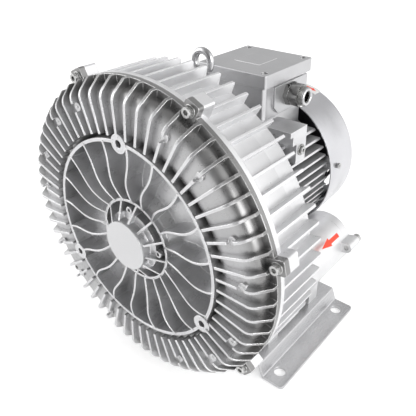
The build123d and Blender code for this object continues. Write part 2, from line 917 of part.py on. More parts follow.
def cooling_fan():
    hub = pipe(17, fan_seat_radius + fit_gap, fan_start, fan_end)
    disc = pipe(fan_radius - 8, 16, fan_start, fan_start + 2.5)
    blade = radial_plate(
        (
            (16, fan_start + 1),
            (fan_radius, fan_start + 1),
            (fan_radius, fan_end - 6),
            (fan_radius - 20, fan_end),
            (16, fan_end - 6),
        ),
        2.2,
    )
    return hub + disc + around(blade, even_angles(fan_blades))


def fan_circlip():
    ring = pipe(fan_seat_radius + 3, fan_seat_radius - 1 + fit_gap, fan_end + 1.1, fan_end + 2.3)
    return ring - cuboid((-2, 2), (fan_end, fan_end + 4), (0, 30))


# Motor


def motor_frame():
    """Finned motor housing with parallel fins, bolt ears, terminal pedestal and stepped lug."""
    fins = Sketch()
    for row in range(-frame_fin_rows, frame_fin_rows + 1):
        offset = row * frame_fin_pitch
        fins = fins + Pos(0, offset) * Rectangle(2 * frame_fin_radius, frame_fin_thickness)
        if abs(row) < frame_fin_rows:
            fins = fins + Pos(offset, -frame_fin_radius / 2) * Rectangle(frame_fin_thickness, frame_fin_radius)
    fins = (fins & Circle(frame_fin_radius)) - Circle(frame_barrel - 2)
    start = casing_depth
    barrel = rod(frame_barrel, start, frame_end)
    finned = block(fins, start + 14, frame_end)
    flange = rod(seat_radius + 4, start, start + 8)
    ears = [rod(motor_ear, start, start + motor_ear_thickness, *polar(motor_bolt_radius, 45 + 90 * index))
            for index in range(4)]
    clear = [rod(motor_ear + 1, start + motor_ear_thickness, start + 34,
                 *polar(motor_bolt_radius, 45 + 90 * index)) for index in range(4)]
    pedestal = cuboid((-42, 42), (158, frame_end), (50, box_bottom - lid_gasket))
    shelf = cuboid((38, 86), (156, 192), (84, 91))
    step = cuboid((60, 86), (162, 192), (72, 85))
    lug = cuboid((60, 86), (171, 192), (46, 73))
    body = barrel + finned + flange + (pedestal - rod(frame_barrel - 2, 150, 250)) + shelf + step + lug
    body = body - clear + ears
    body = body - rod(frame_bore, start - 1, frame_end + 1)
    for index in range(4):
        x, z = polar(motor_bolt_radius, 45 + 90 * index)
        body = body - rod(motor_bolt_size + seat_gap, start - 1, start + motor_ear_thickness + 1, x, z)
        x, z = polar(shield_screw_radius(), 90 * index)
        body = body + rod(6, frame_end - 24, frame_end, x, z) - rod(2.5 + fit_gap, frame_end - 13, frame_end + 1, x, z)
    body = body - Pos(82, 181, 62) * Rot(0, 90, 0) * Cylinder(2.5 + fit_gap, 14)
    cable_hole = Pos(0, (box_start + box_end) / 2, 80) * Cylinder(12, 50)
    return body - cable_hole


def shield_screw_radius():
    return frame_barrel + 4.5


def motor_bolts():
    start = casing_depth + motor_ear_thickness
    bolt = Rot(0, 0, 180) * hex_screw(motor_bolt_size, 7.2, 5.3, motor_ear_thickness + 12)
    placed = []
    for index in range(4):
        x, z = polar(motor_bolt_radius, 45 + 90 * index)
        placed.append(Pos(x, start, z) * bolt)
    return placed


def earth_screw():
    """Earthing screw in the frame's stepped lug, pointing out to the side."""
    screw = Rot(0, 0, 90) * socket_screw(2.5, 4.6, 4.0, 10, 2.3)
    return Pos(86, 181, 62) * screw


def stator_core():
    body = pipe(frame_bore - fit_gap, stator_inner, stack_start, stack_end)
    slot = Pos(stator_inner + 13, 0) * Rectangle(18, 7)
    mouth = Pos(stator_inner + 3, 0) * Rectangle(8, 2.6)
    cut = block(slot + mouth, stack_start - 1, stack_end + 1)
    return body - around(cut, even_angles(slot_count))


def stator_winding():
    """Copper coils: bars in the slots joined by the two wound heads."""
    inner = stator_inner + 4
    outer = stator_inner + 22
    heads = []
    for start, side in ((stack_start - 1, -1), (stack_end + 1, 1)):
        heads.append(turned(
            (inner, start),
            (outer, start),
            (outer + 2, start + side * 6),
            (outer - 3, start + side * 13),
            (inner + 3, start + side * 13),
            (inner, start + side * 8),
        ))
    bar = block(Pos(stator_inner + 13, 0) * Rectangle(17, 6), stack_start - 2, stack_end + 2)
    return heads[0] + heads[1] + around(bar, even_angles(slot_count))


def rear_shield():
    """Rear bearing shield with four posts for the cowl."""
    seat = rear_bearing_station - 2
    body = turned(
        (rear_shoulder_radius + 4, seat - 4),
        (frame_bore - 12, seat - 7),
        (frame_bore - fit_gap, seat - 7),
        (frame_bore - fit_gap, frame_end),
        (frame_barrel + 1, frame_end),
        (frame_barrel + 1, frame_end + shield_flange),
        (rear_bearing_outer_radius + 10, frame_end + shield_flange),
        (rear_bearing_outer_radius + 7, rear_bearing_station + bearing_width),
        (rear_bearing_outer_radius, rear_bearing_station + bearing_width),
        (rear_bearing_outer_radius, seat),
        (rear_shoulder_radius + 4, seat),
    )
    screw_at = shield_screw_radius()
    for index in range(4):
        ear = rod(6.5, frame_end, frame_end + shield_flange, screw_at)
        post = cuboid((frame_barrel - 12, box_bottom - 4), (frame_end, fan_start - 5), (8, 20))
        post = post + cuboid((box_bottom - 5, cowl_radius), (box_end + 2, fan_start - 5), (8, 20))
        hole = rod(2.5 + seat_gap, frame_end - 1, frame_end + shield_flange + 1, screw_at)
        screw_hole = Pos(cowl_radius - 6, cowl_screw_station, 14) * Rot(0, 90, 0) * Cylinder(2 + fit_gap, 16)
        post = post & rod(cowl_radius - cowl_wall, frame_end, fan_start)
        body = body + turn(ear + post, 90 * index) - turn(hole + screw_hole, 90 * index)
    return body


def shield_screws():
    end = frame_end + shield_flange
    screw = Rot(0, 0, 180) * socket_screw(2.5, 4.2, 5.0, shield_flange + 11, 2.2)
    return [turn(Pos(shield_screw_radius(), end, 0) * screw, 90 * index) for index in range(4)]


def wave_washer():
    """Spring washer that preloads the rear bearing."""
    start = rear_bearing_station - 1.7
    return pipe(rear_bearing_outer_radius - 0.4, rear_bearing_outer_radius - 4, start, start + 1.4)


def fan_cowl():
    """Sheet cowl with a small step round it, a rounded rear edge and a grille of arc slots."""
    rear_radius = cowl_radius - cowl_step

    def skin(offset):
        front = cowl_radius - offset
        back = rear_radius - offset
        curve = cowl_round - offset
        end = cowl_end - offset
        start = cowl_start - (1 if offset else 0)
        side = Polyline((0, start), (front, start), (front, cowl_step_station),
                        (back, cowl_step_station + 4), (back, end - curve))
        round_edge = ThreePointArc((back, end - curve),
                                   (back - curve + 0.7071 * curve, end - curve + 0.7071 * curve),
                                   (back - curve, end))
        rear = Polyline((back - curve, end), (0, end), (0, start))
        return revolve(make_face(side + round_edge + rear), Axis.Y, 360)

    shell = skin(0) - skin(cowl_wall)
    slots = Sketch()
    for ring in range(5):
        inner = 18 + 13.5 * ring
        slots = slots + (Circle(inner + 9) - Circle(inner))
    for index in range(4):
        slots = slots - Rot(0, 0, 45 * index) * Rectangle(2 * rear_radius, 6)
    shell = shell - block(slots, cowl_end - 4, cowl_end + 1)
    notch = cuboid((-box_half - 1, box_half + 1), (cowl_start - 1, box_end + 1), (80, cowl_radius + 1))
    screw_hole = Pos(cowl_radius, cowl_screw_station, 14) * Rot(0, 90, 0) * Cylinder(2 + seat_gap, 16)
    return shell - notch - around(screw_hole, even_angles(4))


def cowl_screws():
    screw = Rot(0, 0, 90) * socket_screw(2.0, 3.8, 2.6, 10, 1.6)
    placed = Pos(cowl_radius, cowl_screw_station, 14) * screw
    return around(placed, even_angles(4))


def shaft_seal():
    return pipe(seal_radius - fit_gap, shoulder_radius + fit_gap, chamber_depth + 0.5, chamber_depth + 5.5)


# Terminal box


def box_seat_gasket():
    ring = cuboid((-40, 40), (160, 244), (box_bottom - lid_gasket, box_bottom))
    return ring - cuboid((-30, 30), (170, 234), (box_bottom - 5, box_bottom + 1))


def rounded_box(half, start, end, bottom, top, corner):
    """Upright box with rounded corners, between two stations and two heights."""
    outline = RectangleRounded(2 * half, end - start, corner)
    middle = (start + end) / 2
    return extrude(Plane((0, middle, bottom)) * outline, amount=top - bottom)


def lid_screw_spots():
    return [(x, y) for x in (-lid_screw_x, lid_screw_x) for y in (lid_screw_start, lid_screw_end)]


def upright(radius, x, y, bottom, top):
    return Pos(x, y, (bottom + top) / 2) * Cylinder(radius, top - bottom)


def terminal_box():
    """Cast terminal box with a raised pad for the cable gland on its right side."""
    body = rounded_box(box_half, box_start, box_end, box_bottom, box_top, 3)
    pad_start = gland_station - 31
    pad = Polyline((pad_start, box_top - 2), (pad_start, box_bottom + 12), (pad_start + 8, box_bottom + 4),
                   (box_end - 3, box_bottom + 4), (box_end - 3, box_top - 2), close=True)
    side = Plane((box_half - 1, 0, 0), x_dir=(0, 1, 0), z_dir=(1, 0, 0))
    body = body + extrude(side * make_face(pad), amount=box_pad + 1)
    inside = rounded_box(box_half - box_wall, box_start + box_wall, box_end - box_wall,
                         box_bottom + box_wall, box_top + 1, 3)
    body = body - inside
    for x, y in lid_screw_spots():
        body = body + upright(4.6, x - 0.4 * (1 if x > 0 else -1), y, box_bottom + 1, box_top)
    for x, y in lid_screw_spots():
        body = body - upright(2.0 + fit_gap, x, y, box_top - 20, box_top + 1)
    middle = (box_start + box_end) / 2
    body = body - upright(12, 0, middle, box_bottom - 1, box_bottom + 6)
    return body - gland_cylinder(gland_thread + fit_gap, box_half - 8, box_half + 8)


def gland_cylinder(radius, start, end):
    """Cylinder on the cable gland's axis between two values of X."""
    return Pos((start + end) / 2, gland_station, gland_height) * Rot(0, 90, 0) * Cylinder(radius, end - start)


def gland_hex(radius, start, end):
    outline = RegularPolygon(radius, 6)
    return extrude(Plane((start, gland_station, gland_height), x_dir=(0, 1, 0), z_dir=(1, 0, 0)) * outline,
                   amount=end - start)


def lid_gasket_ring():
    top = box_top + lid_gasket
    body = rounded_box(box_half, box_start, box_end, box_top, top, 3)
    body = body - rounded_box(box_half - box_wall, box_start + box_wall, box_end - box_wall,
                              box_top - 1, top + 1, 3)
    for x, y in lid_screw_spots():
        body = body + upright(4.6, x - 0.4 * (1 if x > 0 else -1), y, box_top, top)
    for x, y in lid_screw_spots():
        body = body - upright(2.0 + seat_gap, x, y, box_top - 1, top + 1)
    return body


def terminal_lid():
    """Cast lid with recessed corner screws and a blank raised square."""
    bottom = box_top + lid_gasket
    body = rounded_box(lid_half, lid_start, lid_end, bottom, lid_top, 3)
    top_edges = body.edges().filter_by_position(Axis.Z, lid_top - 0.1, lid_top + 0.1)
    body = fillet(top_edges, 1.2)
    middle = (lid_start + lid_end) / 2
    body = body + Pos(0, middle, lid_top + 0.2) * Box(38, 38, 0.6)
    half = lid_half - lid_skirt
    hollow = rounded_box(half, lid_start + lid_skirt, lid_end - lid_skirt, bottom - 1, lid_top - lid_plate, 3)
    for x, y in lid_screw_spots():
        hollow = hollow - upright(8, x, y, bottom - 2, lid_top)
    body = body - hollow
    for x, y in lid_screw_spots():
        body = body - upright(4.4, x, y, lid_top - 4, lid_top + 1) - upright(2.3, x, y, bottom - 1, lid_top)
    return body


def lid_screws():
    screw = Rot(-90, 0, 0) * socket_screw(2.0, 3.9, 2.8, 20, 1.8)
    return [Pos(x, y, lid_top - 4) * screw for x, y in lid_screw_spots()]


def terminal_board():
    middle = (box_start + box_end) / 2
    floor = box_bottom + box_wall
    board = cuboid((-27, 27), (middle + 16, middle + 36), (floor, floor + 8))
    board = board + cuboid((-27, 27), (middle + 24, middle + 28), (floor, floor + 12))
    for x, y in stud_spots():
        board = board - upright(2.0 + fit_gap, x, y, floor + 3, floor + 9)
    return board


def stud_spots():
    middle = (box_start + box_end) / 2
    return [(x, y) for x in (-16, 0, 16) for y in (middle + 20, middle + 32)]


def terminal_studs():
    floor = box_bottom + box_wall
    studs = []
    for x, y in stud_spots():
        nut = Pos(x, y, floor + 8) * extrude(RegularPolygon(3.6, 6), amount=3.2)
        studs.append(upright(2.0, x, y, floor + 3, floor + 17) + nut)
    return studs


def gland_body():
    """Threaded body of the cable gland with its hexagon against the box's pad."""
    face = box_half + box_pad
    body = gland_cylinder(gland_thread, face - 9, face) + gland_hex(15.0, face, face + 6)
    body = body + gland_cylinder(gland_thread + 1, face + 6, face + 18)
    return body - gland_cylinder(gland_thread - 2, face - 10, face + 19)


def gland_seal():
    face = box_half + box_pad
    return gland_cylinder(gland_thread - 2 - fit_gap, face + 8, face + 18) - gland_cylinder(
        gland_bore + 2 * fit_gap, face + 7, face + 19)


def gland_nut():
    """Cap nut of the gland with a round collar and the cable's hole."""
    face = box_half + box_pad
    body = gland_hex(14.5, face + 6.5, face + 19) & gland_cylinder(14.0, face + 6, face + 20)
    body = body + gland_cylinder(11.5, face + 19, face + 25)
    body = body - gland_cylinder(gland_thread + 1 + fit_gap, face + 5, face + 18 + fit_gap)
    return body - gland_cylinder(gland_bore, face + 17, face + 26)


def bearing(name, bore, outer, start):
    return {
        name + "_bearing_outer_ring": bearing_ring(bore, outer, start, False),
        name + "_bearing_inner_ring": bearing_ring(bore, outer, start, True),
        name + "_bearing_balls": bearing_balls(bore, outer, start),
        name + "_bearing_cage": bearing_cage(bore, outer, start),
    }


def assembly():
    parts = {
        "front_cover": front_cover(),
        "centre_disc": centre_disc(),
        "casing": casing(),
        "seam_seal": seam_seal(),
        "clamp_screws": clamp_screws(),
        "eyebolt": eyebolt(),
        "shaft_seal": shaft_seal(),
        "silencer_screws": silencer_screws(),
        "port_screws": port_screws(),
        "foot_screws": foot_screws(),
        "shaft": shaft(),
        "impeller": impeller(),
        "impeller_key": impeller_key(),
        "impeller_spacer": impeller_spacer(),
        "shaft_nut": shaft_nut(),
        "rotor_core": rotor_core(),
        "rotor_cage": rotor_cage(),
        "cooling_fan": cooling_fan(),
        "fan_circlip": fan_circlip(),
        "motor_frame": motor_frame(),
        "motor_bolts": motor_bolts(),
        "earth_screw": earth_screw(),
        "stator_core": stator_core(),
        "stator_winding": stator_winding(),
        "rear_shield": rear_shield(),
        "shield_screws": shield_screws(),
        "wave_washer": wave_washer(),
        "fan_cowl": fan_cowl(),
        "cowl_screws": cowl_screws(),
        "box_seat_gasket": box_seat_gasket(),
        "terminal_box": terminal_box(),
        "lid_gasket": lid_gasket_ring(),
        "terminal_lid": terminal_lid(),
        "lid_screws": lid_screws(),
        "terminal_board": terminal_board(),
        "terminal_studs": terminal_studs(),
        "gland_body": gland_body(),
        "gland_seal": gland_seal(),
        "gland_nut": gland_nut(),
    }
    parts.update(bearing("front", front_journal, front_bearing_outer_radius, front_bearing_station))
    parts.update(bearing("rear", rear_journal, rear_bearing_outer_radius, rear_bearing_station))
    for name, side in (("inlet", 1), ("outlet", -1)):
        parts[name + "_silencer"] = silencer(side)
        parts[name + "_gasket"] = silencer_gasket(side)
        parts[name + "_foam"] = silencer_foam(side)
        parts[name + "_liner"] = silencer_liner(side)
        parts[name + "_port_flange"] = port_flange(side)
    for name, side in (("right", 1), ("left", -1)):
        parts["foot_" + name] = foot(side)
    return parts


def write(parts):
    """Move every piece from the shaft's frame to the floor's frame and write its file."""
    os.makedirs("parts", exist_ok=True)
    place = Pos(0, -seam_distance, shaft_height)
    for name, shape in parts.items():
        pieces = shape if isinstance(shape, list) else [shape]
        solids = [solid for piece in pieces for solid in (place * piece).solids()]
        result = solids[0] if len(solids) == 1 else Compound(children=solids)
        export_step(result, "parts/" + name + ".step")


if __name__ == "__main__":
    write(assembly())
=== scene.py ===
"""Looks of a side channel blower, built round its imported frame."""

import logging
import math
from dataclasses import dataclass, field, replace
from enum import Enum
from typing import Any, Iterable, Sequence

import bmesh
import bpy
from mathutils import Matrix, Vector


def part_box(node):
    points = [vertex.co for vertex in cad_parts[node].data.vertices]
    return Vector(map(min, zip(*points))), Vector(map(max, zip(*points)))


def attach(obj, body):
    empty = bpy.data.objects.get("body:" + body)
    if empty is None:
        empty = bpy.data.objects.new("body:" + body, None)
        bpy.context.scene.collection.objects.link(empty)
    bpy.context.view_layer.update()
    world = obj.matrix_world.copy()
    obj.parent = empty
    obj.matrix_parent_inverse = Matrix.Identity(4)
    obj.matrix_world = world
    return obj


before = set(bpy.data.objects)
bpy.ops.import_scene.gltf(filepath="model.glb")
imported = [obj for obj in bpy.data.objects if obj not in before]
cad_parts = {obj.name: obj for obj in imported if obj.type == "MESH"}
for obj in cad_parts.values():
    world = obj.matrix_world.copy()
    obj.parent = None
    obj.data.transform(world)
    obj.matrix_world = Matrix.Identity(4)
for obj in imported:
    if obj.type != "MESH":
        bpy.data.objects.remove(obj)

log = logging.getLogger("blower")

MM = 0.001
SHAFT_HEIGHT = 0.195
SEAM_Y = -0.144
Colour = tuple[float, float, float]
SMOOTH_ANGLE = 35.0
# The ramp below sets the edge mask for painted highlights; the colour after it is the light tone painted
# on casting edges as a highlight.
EDGE_TURN = (0.01, 0.22)
PAINTED_EDGE_HIGHLIGHT: Colour = (0.98, 0.98, 0.98)
WHITE_LIGHT = (1.0, 1.0, 1.0, 1.0)
RECORD_SLOTS = {
    "cover casting": "cover_casting",
    "casing casting": "cast_body",
    "zinc plate": "plated_steel",
    "polished steel": "bright_steel",
    "nickel plate": "nickel_brass",
}


def station(mm: float) -> float:
    """Return the Y in metres of a distance in mm behind the joint of cover and casing."""
    return SEAM_Y + mm * MM


def round_point(radius: float, angle: float, mm: float) -> Vector:
    """Return a point in metres from its radius in mm, angle from +X in radians and station."""
    return Vector((radius * MM * math.cos(angle), station(mm),
                   SHAFT_HEIGHT + radius * MM * math.sin(angle)))


class Body(str, Enum):
    """The rigid bodies that new pieces ride on."""

    HOUSING = "housing"


class Num:
    """A number that varies over a surface, held as the socket that gives it."""

    def __init__(self, sheet: "Nodes", socket: bpy.types.NodeSocket) -> None:
        """Wrap a socket of a material's tree."""
        self.sheet = sheet
        self.socket = socket

    def _math(self, operation: str, *terms: "Num | float") -> "Num":
        """Add a Math node with its inputs in order and return its result."""
        node = self.sheet.node("ShaderNodeMath", {"operation": operation}, dict(enumerate(terms)))
        return Num(self.sheet, node.outputs[0])

    def __add__(self, other: "Num | float") -> "Num":
        """Return the sum."""
        return self._math("ADD", self, other)

    __radd__ = __add__

    def __sub__(self, other: "Num | float") -> "Num":
        """Return the difference."""
        return self._math("SUBTRACT", self, other)

    def __rsub__(self, other: float) -> "Num":
        """Return a number less this one."""
        return self._math("SUBTRACT", other, self)

    def __mul__(self, other: "Num | float") -> "Num":
        """Return the product."""
        return self._math("MULTIPLY", self, other)

    __rmul__ = __mul__

    def __pow__(self, other: "Num | float") -> "Num":
        """Return a power."""
        return self._math("POWER", self, other)

    def wave(self) -> "Num":
        """Return the sine."""
        return self._math("SINE", self)

    def above(self, low: float, high: float) -> "Num":
        """Ramp smoothly from 0 to 1 between two values.

        Args:
            low: Where the ramp starts.
            high: Where it ends; below low, the ramp falls.

        Returns:
            A mask from 0 to 1.
        """
        settings = {"interpolation_type": "SMOOTHSTEP", "clamp": True}
        inputs = {"Value": self, "From Min": min(low, high), "From Max": max(low, high)}
        if low > high:
            inputs.update({"To Min": 1.0, "To Max": 0.0})
        node = self.sheet.node("ShaderNodeMapRange", settings, inputs)
        return Num(self.sheet, node.outputs["Result"])


class Nodes:
    """A node tree to which every node is added through one method."""

    def __init__(self, tree: bpy.types.NodeTree) -> None:
        """Take a tree over and empty it."""
        self.tree = tree
        self.tree.nodes.clear()

    def node(self, kind: str, settings: dict[str, Any] | None = None,
             inputs: dict[Any, Any] | None = None) -> bpy.types.Node:
        """Add any node.

        Args:
            kind: The node's type.
            settings: Properties that are set first.
            inputs: Values or links of its sockets by name or place.

        Returns:
            The node.
        """
        made = self.tree.nodes.new(kind)
        for key, value in (settings or {}).items():
            setattr(made, key, value)
        for key, value in (inputs or {}).items():
            socket = made.inputs[key]
            if isinstance(value, Num):
                value = value.socket
            if isinstance(value, bpy.types.NodeSocket):
                self.tree.links.new(value, socket)
            else:
                socket.default_value = value
        return made


class Sheet(Nodes):
    """A material, with the patterns that the finishes are made from."""

    def __init__(self, name: str) -> None:
        """Start an empty material."""
        self.material = bpy.data.materials.new(name)
        self.material.use_nodes = True
        super().__init__(self.material.node_tree)
        self._place: bpy.types.NodeSocket | None = None

    def place(self) -> bpy.types.NodeSocket:
        """Return the point on the object, in metres."""
        if self._place is None:
            self._place = self.node("ShaderNodeTexCoord").outputs["Object"]
        return self._place

    def axis(self, name: str) -> Num:
        """Return the X, Y or Z of the point on the object, in metres."""
        return Num(self, self.node("ShaderNodeSeparateXYZ", None, {0: self.place()}).outputs[name])

    def depth(self) -> Num:
        """Return the station along the shaft in millimetres."""
        return (self.axis("Y") - SEAM_Y) * 1000.0

    def reach(self) -> Num:
        """Return the distance from the shaft's axis in millimetres."""
        across, height = self.axis("X"), self.axis("Z") - SHAFT_HEIGHT
        return (across * across + height * height) ** 0.5 * 1000.0

    def noise(self, size_mm: float, detail: float = 2.0, stretch: Sequence[float] = (1.0, 1.0, 1.0),
              roughness: float = 0.5) -> Num:
        """Return cloudy noise.

        Args:
            size_mm: The width of its lumps.
            detail: How many finer layers it has.
            stretch: Factors by which the lumps are longer along X, Y and Z.
            roughness: How strong the finer layers are.

        Returns:
            Values round 0.5.
        """
        scale = tuple(1.0 / factor for factor in stretch)
        point = self.node("ShaderNodeMapping", None, {"Vector": self.place(), "Scale": scale}).outputs[0]
        inputs = {"Vector": point, "Scale": 1000.0 / size_mm, "Detail": detail, "Roughness": roughness}
        return Num(self, self.node("ShaderNodeTexNoise", None, inputs).outputs["Fac"])

    def pits(self, size_mm: float, reach: float) -> Num:
        """Return scattered round pits.

        Args:
            size_mm: Distance between pits.
            reach: Size of a pit as a share of that distance.

        Returns:
            1 in the middle of a pit and 0 between pits.
        """
        inputs = {"Vector": self.place(), "Scale": 1000.0 / size_mm, "Randomness": 1.0}
        away = Num(self, self.node("ShaderNodeTexVoronoi", None, inputs).outputs["Distance"])
        return away.above(reach, 0.0)

    def blend(self, first: Any, second: Any, share: "Num | float") -> bpy.types.NodeSocket:
        """Mix two colours.

        Args:
            first: Colour at share 0.
            second: Colour at share 1.
            share: The mask.

        Returns:
            The mixed colour.
        """
        colours = [(*value, 1.0) if isinstance(value, tuple) and len(value) == 3 else value
                   for value in (first, second)]
        inputs = {0: share, 6: colours[0], 7: colours[1]}
        return self.node("ShaderNodeMix", {"data_type": "RGBA"}, inputs).outputs[2]

    def soft_edges(self, radius_mm: float) -> tuple[bpy.types.NodeSocket, Num]:
        """Round every edge a little for the light.

        Args:
            radius_mm: Radius of the rounding.

        Returns:
            The rounded normal, and a mask that is 1 on edges and 0 on flats, which the finishes use to
            paint highlights on edges.
        """
        bevel = self.node("ShaderNodeBevel", {"samples": 6}, {"Radius": radius_mm * MM}).outputs[0]
        facing = self.node("ShaderNodeNewGeometry").outputs["Normal"]
        dot = self.node("ShaderNodeVectorMath", {"operation": "DOT_PRODUCT"}, {0: bevel, 1: facing})
        return bevel, (1.0 - Num(self, dot.outputs["Value"])).above(*EDGE_TURN)

    def relief(self, height: Num, depth_mm: float, normal: bpy.types.NodeSocket | None = None,
               strength: float = 1.0) -> bpy.types.NodeSocket:
        """Turn a height into a bumped normal.

        Args:
            height: Heights from 0 to 1.
            depth_mm: What a height of 1 stands for.
            normal: The normal below it.
            strength: How much of the bump is used.

        Returns:
            The new normal.
        """
        inputs: dict[Any, Any] = {"Height": height, "Distance": depth_mm * MM, "Strength": strength}
        if normal is not None:
            inputs["Normal"] = normal
        return self.node("ShaderNodeBump", None, inputs).outputs[0]

    def finish(self, **inputs: Any) -> bpy.types.Material:
        """Close the material with its surface shader.

        Args:
            inputs: Values or links of the shader's sockets, with _ for a space.

        Returns:
            The material.
        """
        named = {key.replace("_", " "): value for key, value in inputs.items()}
        shader = self.node("ShaderNodeBsdfPrincipled", None, {
            key: (*value, 1.0) if key == "Base Color" and isinstance(value, tuple) else value
            for key, value in named.items()})
        self.node("ShaderNodeOutputMaterial", None, {"Surface": shader.outputs[0]})
        return self.material


class PaintedShade(Enum):
    """Where shade is painted deep between a casting's fins."""

    NONE = "nowhere"
    COVER = "between the cover's fins and ribs"
    CASING = "between the casing's ribs"
    MOTOR = "between the motor's fins"

    def mask(self, sheet: "Sheet") -> "Num | float":
        """Return the mask of the painted shade in the deep places.

        Args:
            sheet: The material that uses it.

        Returns:
            1 in the depth and 0 at the top.
        """
        # Painted shade: each mask is 1 deep between the fins and ribs and 0 at their tops.
        if self is PaintedShade.COVER:
            return sheet.depth().above(-29.2, -15.0) * (sheet.reach().above(118.0, 124.0) * 0.75 + 0.25)
        if self is PaintedShade.CASING:
            return sheet.reach().above(180.5, 172.5)
        if self is PaintedShade.MOTOR:
            return sheet.reach().above(93.0, 79.0)
        return 0.0


@dataclass(frozen=True)
class Coat:
    """What every finish has: a name, its main tone and a darker one."""

    name: str
    tone: Colour
    shade: Colour


@dataclass(frozen=True)
class Casting(Coat):
    """Blasted die casting under a thin silver coat."""

    metal: float = 0.55
    roughness: float = 0.40
    edge_mm: float = 1.0
    # The next two fields set the light colour and strength of the highlight painted on edges.
    edge_highlight_tone: Colour = (0.86, 0.86, 0.87)
    edge_highlight_share: float = 0.75
    grain_mm: float = 0.9
    grain_depth_mm: float = 0.10
    # The next three fields set where shade is painted between the fins, its colour and its strength.
    painted_shade: PaintedShade = PaintedShade.NONE
    painted_shade_tone: Colour = (0.24, 0.24, 0.245)
    painted_shade_share: float = 0.6

    def dress(self) -> bpy.types.Material:
        """Build the material.

        Returns:
            The finished material.
        """
        sheet = Sheet(self.name)
        normal, edge = sheet.soft_edges(self.edge_mm)
        clouds = sheet.noise(38.0, 3.0)
        fine = sheet.noise(self.grain_mm, 2.0)
        flow = sheet.noise(11.0, 4.0, (1.0, 2.2, 1.0), 0.6)
        pits = sheet.pits(7.0, 0.10)
        patch = (clouds * 0.55 + flow * 0.45).above(0.34, 0.66)
        colour = sheet.blend(self.shade, self.tone, patch * 0.75 + 0.25 * fine)
        colour = sheet.blend(colour, tuple(part * 0.62 for part in self.shade), pits * 0.55)
        # Painted shade: a dark tone blended in deep between the fins and ribs.
        if self.painted_shade is not PaintedShade.NONE:
            colour = sheet.blend(colour, self.painted_shade_tone, self.painted_shade.mask(sheet) * self.painted_shade_share)
        # Painted highlight: a light tone blended onto every edge.
        colour = sheet.blend(colour, self.edge_highlight_tone, edge * self.edge_highlight_share)
        rough = self.roughness + (flow - 0.5) * 0.16 + (fine - 0.5) * 0.14 - edge * 0.08
        height = fine * 0.7 + flow * 0.9 - pits * 0.8
        normal = sheet.relief(height, self.grain_depth_mm, normal, 0.55)
        return sheet.finish(Base_Color=colour, Metallic=self.metal, Roughness=rough, Normal=normal)


@dataclass(frozen=True)
class Lacquered(Coat):
    """Smooth sheet or casting under silver paint with a slight orange peel."""

    metal: float = 0.6
    roughness: float = 0.34
    edge_mm: float = 0.7
    peel_mm: float = 1.6
    brushed: bool = False

    def dress(self) -> bpy.types.Material:
        """Build the material.

        Returns:
            The finished material.
        """
        sheet = Sheet(self.name)
        normal, edge = sheet.soft_edges(self.edge_mm)
        clouds = sheet.noise(55.0, 2.0)
        peel = sheet.noise(self.peel_mm, 1.0)
        flakes = sheet.noise(0.35, 0.0)
        share = clouds.above(0.3, 0.7) * 0.6 + flakes * 0.4
        height = peel
        rough = self.roughness + (clouds - 0.5) * 0.12 + (flakes - 0.5) * 0.10
        if self.brushed:
            lines = sheet.noise(0.5, 3.0, (1.0, 60.0, 1.0), 0.7)
            scuffs = sheet.noise(2.2, 4.0, (1.0, 14.0, 3.0), 0.7).above(0.56, 0.72)
            share = share * 0.6 + lines * 0.4
            height = height * 0.3 + lines * 0.7
            rough = rough + scuffs * 0.12
        colour = sheet.blend(self.shade, self.tone, share)
        # Painted highlight: a light tone blended onto every edge.
        colour = sheet.blend(colour, (0.84, 0.84, 0.85), edge * 0.5)
        normal = sheet.relief(height, 0.04, normal, 0.5)
        return sheet.finish(Base_Color=colour, Metallic=self.metal, Roughness=rough, Normal=normal)


@dataclass(frozen=True)
class Plated(Coat):
    """Turned or pressed steel with zinc, nickel or nothing on it."""

    roughness: float = 0.26
    metal: float = 1.0
    lines_mm: float = 0.4
    edge_mm: float = 0.35

    def dress(self) -> bpy.types.Material:
        """Build the material.

        Returns:
            The finished material.
        """
        sheet = Sheet(self.name)
        normal, edge = sheet.soft_edges(self.edge_mm)
        bloom = sheet.noise(6.0, 3.0)
        lines = sheet.noise(self.lines_mm, 2.0, (6.0, 1.0, 6.0))
        colour = sheet.blend(self.shade, self.tone, bloom.above(0.3, 0.7))
        # Painted highlight: a light tone blended onto every edge.
        colour = sheet.blend(colour, (0.92, 0.92, 0.93), edge * 0.5)
        rough = self.roughness + (bloom - 0.5) * 0.2 + (lines - 0.5) * 0.12
        normal = sheet.relief(lines, 0.02, normal, 0.4)
        return sheet.finish(Base_Color=colour, Metallic=self.metal, Roughness=rough, Normal=normal)


@dataclass(frozen=True)
class Moulded(Coat):
    """Rubber, foam or plastic with a matt skin."""

    roughness: float = 0.6
    grain_mm: float = 0.8
    depth_mm: float = 0.06
    pores: bool = False

    def dress(self) -> bpy.types.Material:
        """Build the material.

        Returns:
            The finished material.
        """
        sheet = Sheet(self.name)
        grain = sheet.noise(self.grain_mm, 3.0)
        clouds = sheet.noise(14.0, 2.0)
        height = grain
        if self.pores:
            height = grain * 0.4 - sheet.pits(1.4, 0.55)
        colour = sheet.blend(self.shade, self.tone, clouds * 0.6 + grain * 0.4)
        rough = self.roughness + (clouds - 0.5) * 0.15
        normal = sheet.relief(height, self.depth_mm, None, 0.7)
        return sheet.finish(Base_Color=colour, Roughness=rough, Normal=normal)


@dataclass(frozen=True)
class Layered(Coat):
    """Stacked sheets or wound wire: fine lines across one axis."""

    pitch_mm: float
    along: str = "Y"
    metal: float = 0.8
    roughness: float = 0.45

    def dress(self) -> bpy.types.Material:
        """Build the material.

        Returns:
            The finished material.
        """
        sheet = Sheet(self.name)
        stripe = (sheet.axis(self.along) * (2 * math.pi / (self.pitch_mm * MM))).wave() * 0.5 + 0.5
        clouds = sheet.noise(9.0, 3.0)
        colour = sheet.blend(self.shade, self.tone, stripe * 0.6 + clouds * 0.4)
        rough = self.roughness + (clouds - 0.5) * 0.2
        normal = sheet.relief(stripe, 0.15, None, 0.6)
        return sheet.finish(Base_Color=colour, Metallic=self.metal, Roughness=rough, Normal=normal)


